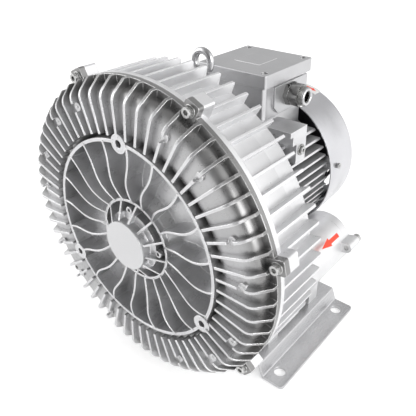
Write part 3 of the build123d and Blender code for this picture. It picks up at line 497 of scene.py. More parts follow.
@dataclass(frozen=True)
class Printed(Coat):
    """Printed film of one colour, slightly worn."""

    roughness: float = 0.38

    def dress(self) -> bpy.types.Material:
        """Build the material.

        Returns:
            The finished material.
        """
        sheet = Sheet(self.name)
        grain = sheet.noise(0.6, 2.0)
        clouds = sheet.noise(12.0, 2.0)
        colour = sheet.blend(self.shade, self.tone, clouds.above(0.3, 0.6))
        normal = sheet.relief(grain, 0.02, None, 0.4)
        rough = self.roughness + (grain - 0.5) * 0.1
        return sheet.finish(Base_Color=colour, Roughness=rough, Normal=normal)


class Finish(Enum):
    """Every finish of the machine."""

    # Every casting, lacquered and plated finish has a highlight painted on its edges; the cover, casing
    # and motor castings also have shade painted between their fins.
    COVER = Casting("cover casting", (0.70, 0.70, 0.71), (0.58, 0.58, 0.59), metal=0.82, roughness=0.30,
                    edge_mm=1.1, edge_highlight_tone=PAINTED_EDGE_HIGHLIGHT, edge_highlight_share=0.95, painted_shade=PaintedShade.COVER,
                    painted_shade_tone=(0.17, 0.167, 0.163), painted_shade_share=0.78)
    CASING = Casting("casing casting", (0.84, 0.84, 0.85), (0.74, 0.74, 0.75), metal=0.72, roughness=0.33,
                     edge_mm=1.0, edge_highlight_tone=PAINTED_EDGE_HIGHLIGHT, edge_highlight_share=0.95, painted_shade=PaintedShade.CASING,
                     painted_shade_tone=(0.62, 0.62, 0.625), painted_shade_share=0.35)
    MOTOR = Casting("motor casting", (0.74, 0.74, 0.75), (0.62, 0.62, 0.63), metal=0.74, roughness=0.38,
                    edge_mm=0.8, edge_highlight_tone=PAINTED_EDGE_HIGHLIGHT, edge_highlight_share=0.95, painted_shade=PaintedShade.MOTOR,
                    painted_shade_tone=(0.18, 0.18, 0.185), painted_shade_share=0.72)
    BOX = Casting("box casting", (0.56, 0.56, 0.57), (0.51, 0.51, 0.52), metal=0.84, roughness=0.38,
                  edge_mm=0.9, grain_depth_mm=0.05, edge_highlight_tone=(0.94, 0.94, 0.94))
    SILENCER = Casting("silencer casting", (0.80, 0.80, 0.805), (0.72, 0.72, 0.725), metal=0.72,
                       roughness=0.36, edge_mm=1.1, edge_highlight_share=0.3)
    DISC = Lacquered("disc paint", (0.77, 0.77, 0.78), (0.74, 0.74, 0.75), metal=0.10, roughness=0.45)
    COWL = Lacquered("cowl paint", (0.63, 0.63, 0.65), (0.57, 0.57, 0.59), metal=0.90, roughness=0.25)
    FOOT = Lacquered("foot sheet", (0.62, 0.62, 0.63), (0.47, 0.47, 0.48), metal=0.88, roughness=0.27,
                     edge_mm=0.9, brushed=True)
    ZINC = Plated("zinc plate", (0.60, 0.60, 0.595), (0.44, 0.44, 0.435))
    BRIGHT = Plated("polished steel", (0.64, 0.64, 0.65), (0.50, 0.50, 0.51), roughness=0.16)
    TURNED = Plated("turned steel", (0.66, 0.66, 0.66), (0.54, 0.54, 0.54), roughness=0.30)
    NICKEL = Plated("nickel plate", (0.36, 0.36, 0.35), (0.26, 0.26, 0.255), roughness=0.20)
    MACHINED = Plated("machined aluminium", (0.80, 0.80, 0.81), (0.70, 0.70, 0.71), roughness=0.34)
    RUBBER = Moulded("black rubber", (0.035, 0.035, 0.035), (0.02, 0.02, 0.02), roughness=0.62)
    FOAM = Moulded("grey foam", (0.16, 0.16, 0.17), (0.09, 0.09, 0.10), roughness=0.9, pores=True,
                   depth_mm=0.5)
    BOARD = Moulded("black moulding", (0.05, 0.05, 0.055), (0.035, 0.035, 0.04), roughness=0.45)
    CAGE = Moulded("cage moulding", (0.70, 0.64, 0.50), (0.60, 0.54, 0.42), roughness=0.5)
    LAMINATION = Layered("stacked sheets", (0.22, 0.22, 0.23), (0.10, 0.10, 0.11), pitch_mm=0.65)
    COPPER = Layered("varnished wire", (0.62, 0.27, 0.11), (0.34, 0.13, 0.05), pitch_mm=1.2,
                     roughness=0.35)
    BRASS = Plated("plain brass", (0.78, 0.62, 0.30), (0.62, 0.47, 0.20), roughness=0.28)
    RED = Printed("red print", (0.95, 0.065, 0.022), (0.86, 0.05, 0.018))
    WHITE = Printed("white film", (0.78, 0.78, 0.77), (0.72, 0.72, 0.71))


class Growth(Nodes):
    """A Geometry Nodes tree that repeats a shape and is then turned into a plain mesh."""

    def __init__(self, name: str) -> None:
        """Start a tree with one geometry going in and one coming out."""
        self.name = name
        super().__init__(bpy.data.node_groups.new(name, "GeometryNodeTree"))
        self.tree.interface.new_socket("Geometry", in_out="INPUT", socket_type="NodeSocketGeometry")
        self.tree.interface.new_socket("Geometry", in_out="OUTPUT", socket_type="NodeSocketGeometry")
        self.start = self.node("NodeGroupInput")
        self.values: dict[str, float | int] = {}

    def given(self, name: str, value: float | int) -> bpy.types.NodeSocket:
        """Add a named input: a length in metres, or a number of repeats.

        Args:
            name: The input's name.
            value: Its value for this machine.

        Returns:
            The socket that gives it inside the tree.
        """
        kind = "NodeSocketInt" if isinstance(value, int) else "NodeSocketFloat"
        socket = self.tree.interface.new_socket(name, in_out="INPUT", socket_type=kind)
        self.values[socket.identifier] = value
        return self.start.outputs[name]

    def at_points(self, shape: bpy.types.NodeSocket,
                  turn: tuple[float, float, float] | bpy.types.NodeSocket,
                  points: bpy.types.NodeSocket | None = None) -> bpy.types.NodeSocket:
        """Repeat a shape, turned in radians about X, Y and Z, at the points or the seed mesh's."""
        inputs = {"Points": points or self.start.outputs["Geometry"], "Instance": shape, "Rotation": turn}
        return self.node("GeometryNodeInstanceOnPoints", None, inputs).outputs[0]

    def grow(self, shape: bpy.types.NodeSocket, material: bpy.types.Material,
             spots: Iterable[Vector]) -> None:
        """End the tree, grow it from seed points and keep the result as a plain piece.

        Args:
            shape: The finished instances.
            material: Their finish.
            spots: The seed points.
        """
        real = self.node("GeometryNodeRealizeInstances", None, {0: shape}).outputs[0]
        real = self.node("GeometryNodeSetMaterial", None,
                         {"Geometry": real, "Material": material}).outputs[0]
        self.node("NodeGroupOutput", None, {0: real})
        seed_mesh = bpy.data.meshes.new(self.name + "_seed")
        seed_mesh.from_pydata([tuple(spot) for spot in spots], [], [])
        seed = put(self.name + "_seed", seed_mesh)
        modifier = seed.modifiers.new(self.name, "NODES")
        modifier.node_group = self.tree
        for identifier, value in self.values.items():
            modifier[identifier] = value
        graph = bpy.context.evaluated_depsgraph_get()
        mesh = bpy.data.meshes.new_from_object(seed.evaluated_get(graph), depsgraph=graph)
        bpy.data.objects.remove(seed)
        if not mesh.materials:
            mesh.materials.append(material)
        add_piece(self.name, mesh)


def put(name: str, data: bpy.types.ID) -> bpy.types.Object:
    """Make an object from its data and put it into the scene.

    Args:
        name: The object's name.
        data: Its mesh, lamp or camera.

    Returns:
        The object.
    """
    piece = bpy.data.objects.new(name, data)
    bpy.context.scene.collection.objects.link(piece)
    return piece


def add_piece(name: str, mesh: bpy.types.Mesh, body: Body = Body.HOUSING) -> None:
    """Add a finished mesh to the scene and let it ride on a body.

    Args:
        name: The piece's name.
        mesh: Its mesh, with its place in it.
        body: The body that carries it.
    """
    piece = put(name, mesh)
    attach(piece, body.value)
    finish = next(material.name for material in mesh.materials if material)
    finish in RECORD_SLOTS
    log.info("made %s, %d faces", name, len(mesh.polygons))


def bridge(shape: bmesh.types.BMesh, rows: Sequence[Sequence[bmesh.types.BMVert]], steps: int) -> None:
    """Join each row of points to the next one and the last to the first.

    Args:
        shape: The mesh that is built.
        rows: The rows of points.
        steps: How many faces go between two rows.
    """
    for index, row in enumerate(rows):
        following = rows[(index + 1) % len(rows)]
        for step in range(steps):
            beside = (step + 1) % len(row)
            shape.faces.new((row[step], row[beside], following[beside], following[step]))


def close_shape(name: str, shape: bmesh.types.BMesh, material: bpy.types.Material,
                smooth: bool = True) -> None:
    """Turn a built shape into a piece.

    Args:
        name: The piece's name.
        shape: The shape, which is freed.
        material: Its finish.
        smooth: Whether its round faces are shaded smoothly.
    """
    bmesh.ops.recalc_face_normals(shape, faces=shape.faces)
    mesh = bpy.data.meshes.new(name)
    shape.to_mesh(mesh)
    shape.free()
    if smooth:
        mesh.shade_smooth()
        mesh.set_sharp_from_angle(angle=math.radians(SMOOTH_ANGLE))
    mesh.materials.append(material)
    add_piece(name, mesh)


class Paintbox:
    """Builds each finish once and hands it out."""

    def __init__(self) -> None:
        """Start with no material made."""
        self._made: dict[Finish, bpy.types.Material] = {}

    def get(self, finish: Finish) -> bpy.types.Material:
        """Return a finish's material.

        Args:
            finish: Which one.

        Returns:
            The material, built at the first call.
        """
        if finish not in self._made:
            self._made[finish] = finish.value.dress()
        return self._made[finish]

    def coat(self, piece: bpy.types.Object, finish: Finish) -> None:
        """Give a piece one finish all over.

        Args:
            piece: A CAD node's object or a new piece.
            finish: Its finish.
        """
        if not piece.data.materials:
            piece.data.materials.append(None)
        for slot in piece.material_slots:
            slot.material = self.get(finish)


@dataclass
class CadNodes:
    """The CAD nodes that stay and the finish of each."""

    paints: Paintbox
    wearers: dict[Finish, str] = field(default_factory=lambda: {
        Finish.COVER: "front_cover",
        Finish.DISC: "centre_disc",
        Finish.CASING: "casing",
        Finish.RUBBER: (
            "seam_seal shaft_seal box_seat_gasket lid_gasket gland_seal inlet_gasket "
            "outlet_gasket"),
        Finish.ZINC: (
            "clamp_screws silencer_screws port_screws foot_screws shaft_nut motor_bolts "
            "earth_screw shield_screws cowl_screws lid_screws"),
        Finish.BRIGHT: (
            "eyebolt front_bearing_outer_ring front_bearing_inner_ring front_bearing_balls "
            "rear_bearing_outer_ring rear_bearing_inner_ring rear_bearing_balls"),
        Finish.TURNED: (
            "shaft impeller_key impeller_spacer fan_circlip wave_washer inlet_liner outlet_liner"),
        Finish.MACHINED: "impeller rotor_cage",
        Finish.LAMINATION: "rotor_core stator_core",
        Finish.BOARD: "cooling_fan terminal_board",
        Finish.MOTOR: "motor_frame rear_shield",
        Finish.COPPER: "stator_winding",
        Finish.COWL: "fan_cowl",
        Finish.BOX: "terminal_box terminal_lid",
        Finish.BRASS: "terminal_studs",
        Finish.NICKEL: "gland_body gland_nut",
        Finish.CAGE: "front_bearing_cage rear_bearing_cage",
        Finish.SILENCER: "inlet_silencer inlet_port_flange outlet_silencer outlet_port_flange",
        Finish.FOAM: "inlet_foam outlet_foam",
        Finish.FOOT: "foot_right foot_left",
    })

    sharp_angle: float = 32.0
    merge_mm: float = 0.002

    def dress(self) -> None:
        """Give every CAD node its finish and smooth its round faces."""
        rounder = self._rounder()
        worn = {name: finish for finish, names in self.wearers.items() for name in names.split()}
        for name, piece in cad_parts.items():
            self.paints.coat(piece, worn[name])
            piece.modifiers.new("round_faces", "NODES").node_group = rounder
            log.info("dressed %s as %s", name, worn[name].value.name)

    def _rounder(self) -> bpy.types.NodeTree:
        """Build a tree that shades round faces smoothly and leaves real edges sharp.

        Returns:
            The tree.
        """
        growth = Growth("round_faces")
        merged = growth.node("GeometryNodeMergeByDistance", None, {
            "Geometry": growth.start.outputs[0], "Distance": self.merge_mm * MM}).outputs[0]
        smooth = growth.node("GeometryNodeSetShadeSmooth", {"domain": "FACE"},
                             {0: merged, 2: True}).outputs[0]
        angle = growth.node("GeometryNodeInputMeshEdgeAngle").outputs["Unsigned Angle"]
        sharp = growth.node("FunctionNodeCompare", {"data_type": "FLOAT", "operation": "GREATER_THAN"},
                            {0: angle, 1: math.radians(self.sharp_angle)}).outputs[0]
        edged = growth.node("GeometryNodeSetShadeSmooth", {"domain": "EDGE"},
                            {0: smooth, 1: sharp, 2: False})
        growth.node("NodeGroupOutput", None, {0: edged.outputs[0]})
        return growth.tree


def turned_piece(name: str, outline: Sequence[tuple[float, float]], centre: Vector, axis: Vector,
                 material: bpy.types.Material, columns: int = 48) -> None:
    """Turn a closed outline about any axis.

    Args:
        name: The piece's name.
        outline: Pairs of radius and distance along the axis, in millimetres.
        centre: Where distance 0 lies, in metres.
        axis: The axis.
        material: Its finish.
        columns: How many steps it has all round.
    """
    facing = axis.to_track_quat("Z", "Y").to_matrix()
    shape = bmesh.new()
    rows = []
    for radius, along in outline:
        row = []
        for step in range(columns):
            angle = 2 * math.pi * step / columns
            local = Vector((radius * math.cos(angle), radius * math.sin(angle), along)) * MM
            row.append(shape.verts.new(centre + facing @ local))
        rows.append(row)
    bridge(shape, rows, columns)
    close_shape(name, shape, material)


@dataclass
class GlandDetails:
    """The rolled lip of the cable gland and the grip rings on its body."""

    paints: Paintbox
    face: float = 48.5
    height: float = 119.0
    place: float = 206.5
    nose: float = 25.0
    lip: tuple[tuple[float, float], ...] = (
        (11.4, -0.4), (11.4, 0.4), (11.0, 1.3), (10.2, 2.0), (9.2, 2.3), (8.2, 2.1), (7.3, 1.4),
        (6.9, 0.4), (6.9, -0.4))
    grip_count: int = 4
    grip_start: float = 1.0
    grip_radius: float = 11.45
    grip_pitch: float = 1.3
    grip_wire: float = 0.42

    def build(self) -> None:
        """Make the lip and the grip rings."""
        axis = Vector((1.0, 0.0, 0.0))
        nose = Vector(((self.face + self.nose) * MM, station(self.place),
                       SHAFT_HEIGHT + self.height * MM))
        turned_piece("gland_lip", self.lip, nose, axis, self.paints.get(Finish.BRIGHT))
        growth = Growth("gland_grip_rings")
        ring = growth.node("GeometryNodeCurvePrimitiveCircle", {"mode": "RADIUS"}, {
            "Resolution": 40, "Radius": growth.given("Ring radius", self.grip_radius * MM)})
        wire = growth.node("GeometryNodeCurvePrimitiveCircle", {"mode": "RADIUS"}, {
            "Resolution": 8, "Radius": growth.given("Wire radius", self.grip_wire * MM)})
        solid = growth.node("GeometryNodeCurveToMesh", None, {0: ring.outputs[0], 1: wire.outputs[0]})
        rings = growth.at_points(solid.outputs[0], (0.0, math.radians(90), 0.0))
        spots = [nose - axis * (self.grip_start + step * self.grip_pitch) * MM
                 for step in range(self.grip_count)]
        growth.grow(rings, self.paints.get(Finish.NICKEL), spots)


@dataclass
class ScrewDetails:
    """Knurls and washers of the clamp screws and the dots on the cover's studs."""

    paints: Paintbox
    lug_count: int = 7
    bolt_radius: float = 184.0
    head_radius: float = 5.0
    head_front: float = -13.0
    head_height: float = 6.0
    knurl_count: int = 36
    knurl_size: float = 0.30
    knurl_taper: float = 0.7
    knurl_free: float = 1.4
    knurl_start: float = 0.4
    stud_steps: tuple[int, ...] = (4, 7, 11, 14, 19, 22, 26)
    stud_radius: float = 155.4
    stud_top: float = -24.5
    dot_radius: float = 1.5
    dot_height: float = 0.7
    dot_taper: float = 0.75
    washer_inner: float = 5.35
    washer_outer: float = 6.4
    washer_thickness: float = 1.0
    earth_head: float = 4.0
    earth_washer: tuple[tuple[float, float], ...] = (
        (5.0, 0.0), (7.2, 0.0), (7.2, 0.9), (6.9, 1.2), (5.0, 1.2))

    def _spot(self, radius: float, degrees: float, mm: float) -> Vector:
        """Return a point from its distance and angle about the shaft and its station."""
        return round_point(radius, math.radians(degrees), mm)

    def build(self) -> None:
        """Make the repeats."""
        self._knurls()
        self._washers()
        self._dots()
        low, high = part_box("earth_screw")
        foot = Vector((high.x - self.earth_head * MM, (low.y + high.y) / 2, (low.z + high.z) / 2))
        turned_piece("earth_washer", self.earth_washer, foot, Vector((1.0, 0.0, 0.0)),
                     self.paints.get(Finish.NICKEL), 32)

    def _washers(self) -> None:
        """Lay a flat washer round the head of every clamp screw."""
        growth = Growth("clamp_washers")
        middle = (self.washer_inner + self.washer_outer) / 2
        ring = growth.node("GeometryNodeCurvePrimitiveCircle", {"mode": "RADIUS"}, {
            "Resolution": 32, "Radius": growth.given("Middle radius", middle * MM)})
        section = growth.node("GeometryNodeCurvePrimitiveQuadrilateral", {"mode": "RECTANGLE"}, {
            "Width": growth.given("Washer width", (self.washer_outer - self.washer_inner) * MM),
            "Height": growth.given("Washer thickness", self.washer_thickness * MM)})
        solid = growth.node("GeometryNodeCurveToMesh", None, {0: ring.outputs[0], 1: section.outputs[0]})
        washers = growth.at_points(solid.outputs[0], (math.radians(90), 0.0, 0.0))
        face = self.head_front + self.head_height - self.washer_thickness / 2
        growth.grow(washers, self.paints.get(Finish.ZINC), self._lug_spots(face))

    def _lug_spots(self, mm: float) -> list[Vector]:
        """Return the points on the clamp screws' axes at one station."""
        return [self._spot(self.bolt_radius, 90 + (0.5 + index) * 360 / self.lug_count, mm)
                for index in range(self.lug_count)]

    def _knurls(self) -> None:
        """Set fine ridges round the head of every clamp screw."""
        growth = Growth("clamp_head_knurls")
        ring = growth.node("GeometryNodeMeshCircle", None, {
            "Vertices": growth.given("Ridges per head", self.knurl_count),
            "Radius": growth.given("Head radius", self.head_radius * MM)})
        ridge = growth.node("GeometryNodeMeshCone", None, {
            "Vertices": 5, "Side Segments": 1, "Fill Segments": 1,
            "Radius Top": growth.given("Ridge top", self.knurl_size * self.knurl_taper * MM),
            "Radius Bottom": growth.given("Ridge foot", self.knurl_size * MM),
            "Depth": growth.given("Ridge length", (self.head_height - self.knurl_free) * MM)})
        head = growth.at_points(ridge.outputs["Mesh"], (0.0, 0.0, 0.0), ring.outputs[0])
        heads = growth.at_points(head, (math.radians(90), 0.0, 0.0))
        middle = self.head_front + self.head_height - self.knurl_start
        growth.grow(heads, self.paints.get(Finish.ZINC), self._lug_spots(middle))

    def _dots(self) -> None:
        """Set a small raised dot on every stud between the cover's fins."""
        growth = Growth("stud_dots")
        dot = growth.node("GeometryNodeMeshCone", None, {
            "Vertices": 16, "Side Segments": 1, "Fill Segments": 1,
            "Radius Top": growth.given("Dot top", self.dot_radius * self.dot_taper * MM),
            "Radius Bottom": growth.given("Dot foot", self.dot_radius * MM),
            "Depth": growth.given("Dot height", self.dot_height * MM)})
        dots = growth.at_points(dot.outputs["Mesh"], (math.radians(90), 0.0, 0.0))
        spots = [self._spot(self.stud_radius, 90 + side * 6 * step, self.stud_top)
                 for side in (-1, 1) for step in self.stud_steps]
        growth.grow(dots, self.paints.get(Finish.COVER), spots)


@dataclass
class CastSkins:
    """Skins over the castings: the cover's bulge, the casing's rear wall and its ribs' ends."""

    paints: Paintbox
    bulge_middle: float = 148.0
    bulge_outer: float = 173.0
    bulge_inner: float = 121.2
    bulge_foot: float = 5.5
    bulge_top: float = 22.4
    bulge_power: float = 3.0
    bulge_wall: float = 1.2
    bulge_sink: float = 0.4
    bulge_steps: int = 22
    columns: int = 180
    rib_count: int = 60
    rib_half: float = 1.45
    port_distance: float = math.hypot(86.0, 117.0)
    port_angle: float = math.degrees(math.atan2(117.0, 86.0))
    port_reach: float = 40.0
    rear_outline: tuple[tuple[float, float], ...] = (
        (172.15, 5.9), (171.9, 30.0), (171.2, 50.0), (170.0, 63.0), (168.6, 73.0), (168.2, 75.0),
        (167.3, 76.4), (165.8, 77.0), (150.0, 77.0), (136.0, 77.0), (132.6, 76.2), (130.0, 74.0),
        (127.0, 70.0), (125.0, 65.4), (140.0, 63.5), (154.0, 63.5), (162.0, 58.0), (168.0, 47.0),
        (170.5, 30.0), (170.5, 5.9))
    end_length: float = 8.2
    end_height: float = 11.2
    end_radius: float = 172.4
    end_station: float = 71.2

    def build(self) -> None:
        """Make the skins and the ends of the ribs."""
        self._ring("cover_bulge_skin", self._bulge(), Finish.COVER, None)
        ports = self.port_angle
        self._ring("casing_rear_skin", self.rear_outline, Finish.CASING, (-ports, 180.0 + ports))
        self._ring("casing_lower_skin", self.rear_outline, Finish.CASING, (-180.0 + ports, -ports))
        self._rib_ends()

    def _bulge(self) -> list[tuple[float, float]]:
        """Work out the bulge's closed outline.

        Returns:
            Pairs of radius and station.
        """
        over, under = [], []
        for step in range(self.bulge_steps + 1):
            turn = math.pi * step / self.bulge_steps
            side = math.copysign(abs(math.cos(turn)) ** (2 / self.bulge_power), math.cos(turn))
            rise = math.sin(turn) ** (2 / self.bulge_power) if 0 < step < self.bulge_steps else 0.0
            rim = self.bulge_outer if side > 0 else self.bulge_inner
            half = abs(rim - self.bulge_middle)
            height = self.bulge_top - self.bulge_foot
            over.append((self.bulge_middle + half * side, -self.bulge_foot - height * rise))
            under.append((self.bulge_middle + (half - self.bulge_wall) * side,
                          -self.bulge_foot - (height - self.bulge_wall) * rise + self.bulge_sink))
        return over + under[::-1]

    def _limits(self, radius: float, span: tuple[float, float] | None) -> tuple[float, float]:
        """Find where a ring starts and ends at one radius.

        Args:
            radius: The radius in millimetres.
            span: The two tubes' angles in degrees between which it runs, or None for a full ring.

        Returns:
            Its first and last angle in radians.
        """
        if span is None:
            return 0.0, 2 * math.pi
        near = ((radius ** 2 + self.port_distance ** 2 - self.port_reach ** 2)
                / (2 * radius * self.port_distance))
        half = math.acos(min(1.0, near))
        return math.radians(span[0]) + half, math.radians(span[1]) - half

    def _ring(self, name: str, outline: Sequence[tuple[float, float]], finish: Finish,
              span: tuple[float, float] | None) -> None:
        """Turn a closed outline about the shaft, all round or between the two tubes.

        Args:
            name: The piece's name.
            outline: Pairs of radius and station.
            finish: Its finish.
            span: As for the limits.
        """
        shape = bmesh.new()
        whole = span is None
        rows = []
        for radius, mm in outline:
            first, last = self._limits(radius, span)
            count = self.columns if whole else self.columns + 1
            angles = [first + (last - first) * step / self.columns for step in range(count)]
            rows.append([shape.verts.new(round_point(radius, angle, mm)) for angle in angles])
        bridge(shape, rows, self.columns)
        if not whole:
            caps = [shape.faces.new([row[end] for row in rows]) for end in (0, -1)]
            bmesh.ops.triangulate(shape, faces=caps, ngon_method="EAR_CLIP")
        close_shape(name, shape, self.paints.get(finish))

    def _rib_ends(self) -> None:
        """Fill the slanting end of every axial rib down to the rear rim."""
        growth = Growth("casing_rib_ends")
        wedge = growth.node("GeometryNodeMeshCube", None, {"Size": (1.0, 1.0, 1.0)}).outputs["Mesh"]
        length = growth.given("End length", self.end_length * MM)
        height = growth.given("End height", self.end_height * MM)
        thickness = growth.given("End thickness", 2 * self.rib_half * MM)
        scale = growth.node("ShaderNodeCombineXYZ", None, {0: height, 1: length, 2: thickness}).outputs[0]
        sized = growth.node("GeometryNodeTransform", None, {"Geometry": wedge, "Scale": scale}).outputs[0]
        ring = growth.node("GeometryNodeMeshCircle", None, {
            "Vertices": growth.given("Ribs", self.rib_count),
            "Radius": growth.given("Middle radius", self.end_radius * MM)}).outputs[0]
        place = growth.node("GeometryNodeInputIndex").outputs[0]
        turn = growth.node("ShaderNodeMath", {"operation": "MULTIPLY"},
                           {0: place, 1: 2 * math.pi / self.rib_count}).outputs[0]
        flat = growth.node("GeometryNodeTransform", None,
                           {"Geometry": ring, "Rotation": (math.radians(90), 0.0, 0.0)}).outputs[0]
        back = growth.node("ShaderNodeMath", {"operation": "MULTIPLY"}, {0: turn, 1: -1.0}).outputs[0]
        aim = growth.node("ShaderNodeCombineXYZ", None, {1: back}).outputs[0]
        ends = growth.at_points(sized, aim, flat)
        half_step = growth.node("GeometryNodeTransform", None, {
            "Geometry": ends, "Rotation": (0.0, math.radians(180 / self.rib_count), 0.0)}).outputs[0]
        machine = growth.at_points(half_step, (0.0, 0.0, 0.0))
        middle = Vector((0.0, station(self.end_station), SHAFT_HEIGHT))
        growth.grow(machine, self.paints.get(Finish.CASING), [middle])


@dataclass(frozen=True)
class RoundFace:
    """A round surface along the shaft's direction, on which a thin film lies.

    Its lengths are millimetres; a film's own axes run along and across its length.
    """

    axis_x: float
    axis_z: float
    radius: float
    angle: float
    middle: float
    along_shaft: bool

    def point(self, along: float, across: float, lift: float) -> tuple[float, float, float]:
        """Return a point of a film, in metres.

        Args:
            along: Distance along the film from its middle.
            across: Distance across it.
            lift: Height above the surface.

        Returns:
            The point's coordinates.
        """
        shaft_way, round_way = (along, across) if self.along_shaft else (across, -along)
        turn = math.radians(self.angle) + round_way / self.radius
        reach = self.radius + lift
        return ((self.axis_x + reach * math.cos(turn)) * MM, station(self.middle + shaft_way),
                SHAFT_HEIGHT + (self.axis_z + reach * math.sin(turn)) * MM)


@dataclass
class Signs:
    """Thin printed arrows and their films, which follow the round surfaces under them."""

    paints: Paintbox
    film: float = 0.12
    base: float = -0.05
    port_x: float = 86.0
    port_z: float = -117.0
    arrow_middle: float = 214.0
    arrow_length: float = 44.6
    arrow_angle: float = 45.8
    cowl_radius: float = 99.8
    cowl_angle: float = 74.0
    cowl_station: float = 298.5
    film_rows: tuple[float, ...] = (-12.0, -6.0, 0.0, 6.0, 12.0)
    film_half: float = 8.5
    above_film: float = 0.06
    port_arrow: tuple[float, float, float] = (6.2, 12.4, 22.0)
    turning_arrow: tuple[float, float, float, float] = (16.0, 3.6, 8.0, 7.0)
    columns: int = 8

    def build(self) -> None:
        """Put an arrow on each silencer and a film with one on the cowl."""
        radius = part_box("inlet_silencer")[1].x / MM - self.port_x
        sides = (("inlet_arrow", 1, self.arrow_angle), ("outlet_arrow", -1, 180.0 - self.arrow_angle))
        for name, side, angle in sides:
            tube = RoundFace(side * self.port_x, self.port_z, radius, angle, self.arrow_middle, True)
            rows = self._arrow_rows(-side * self.arrow_length, *self.port_arrow)
            self._film(name, tube, rows, Finish.RED)
        cowl = RoundFace(0.0, 0.0, self.cowl_radius, self.cowl_angle, self.cowl_station, False)
        label = [(along, self.film_half) for along in self.film_rows]
        self._film("turning_film", cowl, label, Finish.WHITE)
        above = replace(cowl, radius=self.cowl_radius + self.film + self.above_film)
        self._film("turning_arrow", above, self._arrow_rows(*self.turning_arrow), Finish.RED)

    @staticmethod
    def _arrow_rows(length: float, shaft: float, head: float,
                    head_length: float) -> list[tuple[float, float]]:
        """Return an arrow's half widths along its length.

        Args:
            length: Its length; below zero, it points the other way.
            shaft: Width of its shaft.
            head: Width of its head.
            head_length: Length of its head.

        Returns:
            Pairs of distance along the film and half width.
        """
        way = 1.0 if length > 0 else -1.0
        tail, tip = -length / 2, length / 2
        neck = tip - way * head_length
        rows = [(tail + (neck - tail) * step / 4, shaft / 2) for step in range(5)]
        rows.append((neck - way * 0.01, shaft / 2))
        for step in range(7):
            rows.append((neck + (tip - neck) * step / 6, head / 2 * (1 - step / 6) + 0.05))
        return rows

    def _film(self, name: str, face: RoundFace, rows: Sequence[tuple[float, float]],
              finish: Finish) -> None:
        """Lay a thin closed film on a round surface.

        Args:
            name: The piece's name.
            face: The surface.
            rows: Pairs of distance along the film and half width.
            finish: Its print.
        """
        shape = bmesh.new()
        steps = [2 * step / self.columns - 1 for step in range(self.columns + 1)]
        under, over = ([[shape.verts.new(face.point(along, half * step, lift)) for step in steps]
                        for along, half in rows] for lift in (self.base, self.film))
        for layer in (under, over):
            for low, high in zip(layer, layer[1:]):
                for near, far, ahead, beside in zip(low, low[1:], high[1:], high):
                    shape.faces.new((near, far, ahead, beside))
        rims = []
        for layer in (under, over):
            rims.append([line[0] for line in layer] + layer[-1][1:] + [line[-1] for line in layer[-2::-1]]
                        + layer[0][-2:0:-1])
        for index, corner in enumerate(rims[0]):
            following = (index + 1) % len(rims[0])
            shape.faces.new((corner, rims[0][following], rims[1][following], rims[1][index]))
        close_shape(name, shape, self.paints.get(finish), smooth=False)


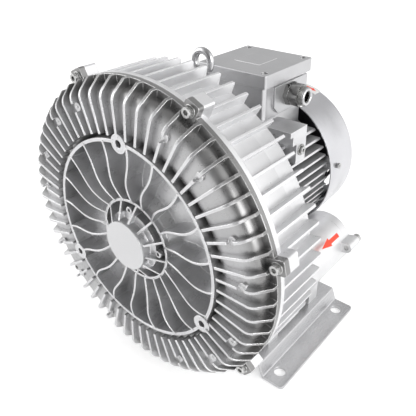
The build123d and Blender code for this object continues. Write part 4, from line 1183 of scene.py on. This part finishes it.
@dataclass
class Studio:
    """Pale floor, soft light and the photograph's camera."""

    eye: Vector = field(default_factory=lambda: Vector((0.36967, -0.45910, 0.52055)))
    tilt: tuple[float, float, float] = (58.7226, 0.5357, 39.6053)
    lens: float = 43.722
    shift: tuple[float, float] = (-0.02585, -0.00722)
    floor_half: float = 9.0
    floor_drop: float = 0.0002
    floor_tone: Colour = (0.86, 0.86, 0.86)
    floor_glow: float = 0.45
    lamp_distance: float = 2.0
    sensor: float = 36.0
    nearest: float = 0.01
    room: float = 0.28
    soft_boxes: tuple[tuple[Colour, float, float, float], ...] = (
        ((1.0, 0.35, 0.0), 0.30, 0.90, 1.25), ((-1.0, -0.4, 0.15), 0.4, 0.95, 0.95),
        ((0.0, 0.0, 1.0), 0.35, 0.98, 0.20), ((-0.5, 1.0, 0.3), 0.6, 0.98, 0.40))
    lamps: tuple[tuple[str, Colour, float, float], ...] = (
        ("key", (1.0, -0.15, 0.22), 1.55, 45.0), ("fill", (-0.90, -0.50, 0.40), 0.75, 50.0))

    def build(self) -> None:
        """Set up camera, floor, world and lamps."""
        self.camera()
        self.floor()
        self.world()
        for lamp in self.lamps:
            self.lamp(*lamp)
        bpy.context.scene.view_settings.view_transform = "Standard"

    def camera(self) -> None:
        """Put the camera where the photograph was taken."""
        data = bpy.data.cameras.new("photograph")
        data.lens = self.lens
        data.sensor_width = self.sensor
        data.sensor_fit = "HORIZONTAL"
        data.shift_x, data.shift_y = self.shift
        data.clip_start = self.nearest
        seat = put("photograph", data)
        seat.location = self.eye
        seat.rotation_euler = [math.radians(angle) for angle in self.tilt]
        bpy.context.scene.camera = seat

    def floor(self) -> None:
        """Lay a wide pale floor that keeps the object's shadow."""
        mesh = bpy.data.meshes.new("floor")
        half = self.floor_half
        corners = [(-half, -half, 0), (half, -half, 0), (half, half, 0), (-half, half, 0)]
        mesh.from_pydata(corners, [], [(0, 1, 2, 3)])
        piece = put("floor", mesh)
        piece.location.z = -self.floor_drop
        sheet = Sheet("pale floor")
        matt = sheet.node("ShaderNodeBsdfDiffuse", None, {"Color": (*self.floor_tone, 1.0)})
        lift = sheet.node("ShaderNodeEmission", None, {"Color": WHITE_LIGHT, "Strength": self.floor_glow})
        both = sheet.node("ShaderNodeAddShader", None, {0: matt.outputs[0], 1: lift.outputs[0]})
        path = sheet.node("ShaderNodeLightPath")
        seen = Num(sheet, path.outputs["Is Camera Ray"]) + Num(sheet, path.outputs["Is Glossy Ray"])
        mixed = sheet.node("ShaderNodeMixShader", None, {0: seen, 1: matt.outputs[0], 2: both.outputs[0]})
        sheet.node("ShaderNodeOutputMaterial", None, {"Surface": mixed.outputs[0]})
        mesh.materials.append(sheet.material)

    def world(self) -> None:
        """Surround the object with soft boxes at its sides and a greyer ceiling."""
        world = bpy.data.worlds.new("studio")
        bpy.context.scene.world = world
        world.use_nodes = True
        sheet = Nodes(world.node_tree)
        way = sheet.node("ShaderNodeTexCoord").outputs["Generated"]

        def lobe(direction: Colour, low: float, high: float) -> Num:
            """Add a soft patch of light.

            Args:
                direction: Where its middle lies.
                low: Cosine of the angle at which it starts.
                high: Cosine of the angle from which it is full.

            Returns:
                Its mask.
            """
            toward = Vector(direction).normalized()
            dot = sheet.node("ShaderNodeVectorMath", {"operation": "DOT_PRODUCT"},
                             {0: way, 1: tuple(toward)})
            return Num(sheet, dot.outputs["Value"]).above(low, high)

        level = self.room
        for direction, low, high, strength in self.soft_boxes:
            level = level + lobe(direction, low, high) * strength
        soft = sheet.node("ShaderNodeBackground", None, {"Color": WHITE_LIGHT, "Strength": level})
        plain = sheet.node("ShaderNodeBackground", None, {"Color": WHITE_LIGHT, "Strength": 1.0})
        path = sheet.node("ShaderNodeLightPath")
        mixed = sheet.node("ShaderNodeMixShader", None,
                           {0: path.outputs["Is Camera Ray"], 1: soft.outputs[0], 2: plain.outputs[0]})
        sheet.node("ShaderNodeOutputWorld", None, {"Surface": mixed.outputs[0]})

    def lamp(self, name: str, direction: Colour, strength: float, spread: float) -> None:
        """Hang a far soft lamp.

        Args:
            name: Its name.
            direction: From the object to the lamp.
            strength: Its level.
            spread: Its apparent width in degrees.
        """
        data = bpy.data.lights.new(name, "SUN")
        data.energy = strength
        data.angle = math.radians(spread)
        piece = put(name, data)
        piece.rotation_euler = Vector(direction).to_track_quat("Z", "Y").to_euler()
        piece.location = Vector(direction) * self.lamp_distance


def main() -> None:
    """Build the studio and dress the machine, one sub-assembly after the other."""
    logging.basicConfig(level=logging.INFO, format="%(name)s: %(message)s")
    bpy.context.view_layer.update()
    paints = Paintbox()
    Studio().build()
    CadNodes(paints).dress()
    CastSkins(paints).build()
    ScrewDetails(paints).build()
    GlandDetails(paints).build()
    Signs(paints).build()


if __name__ == "__main__":
    main()
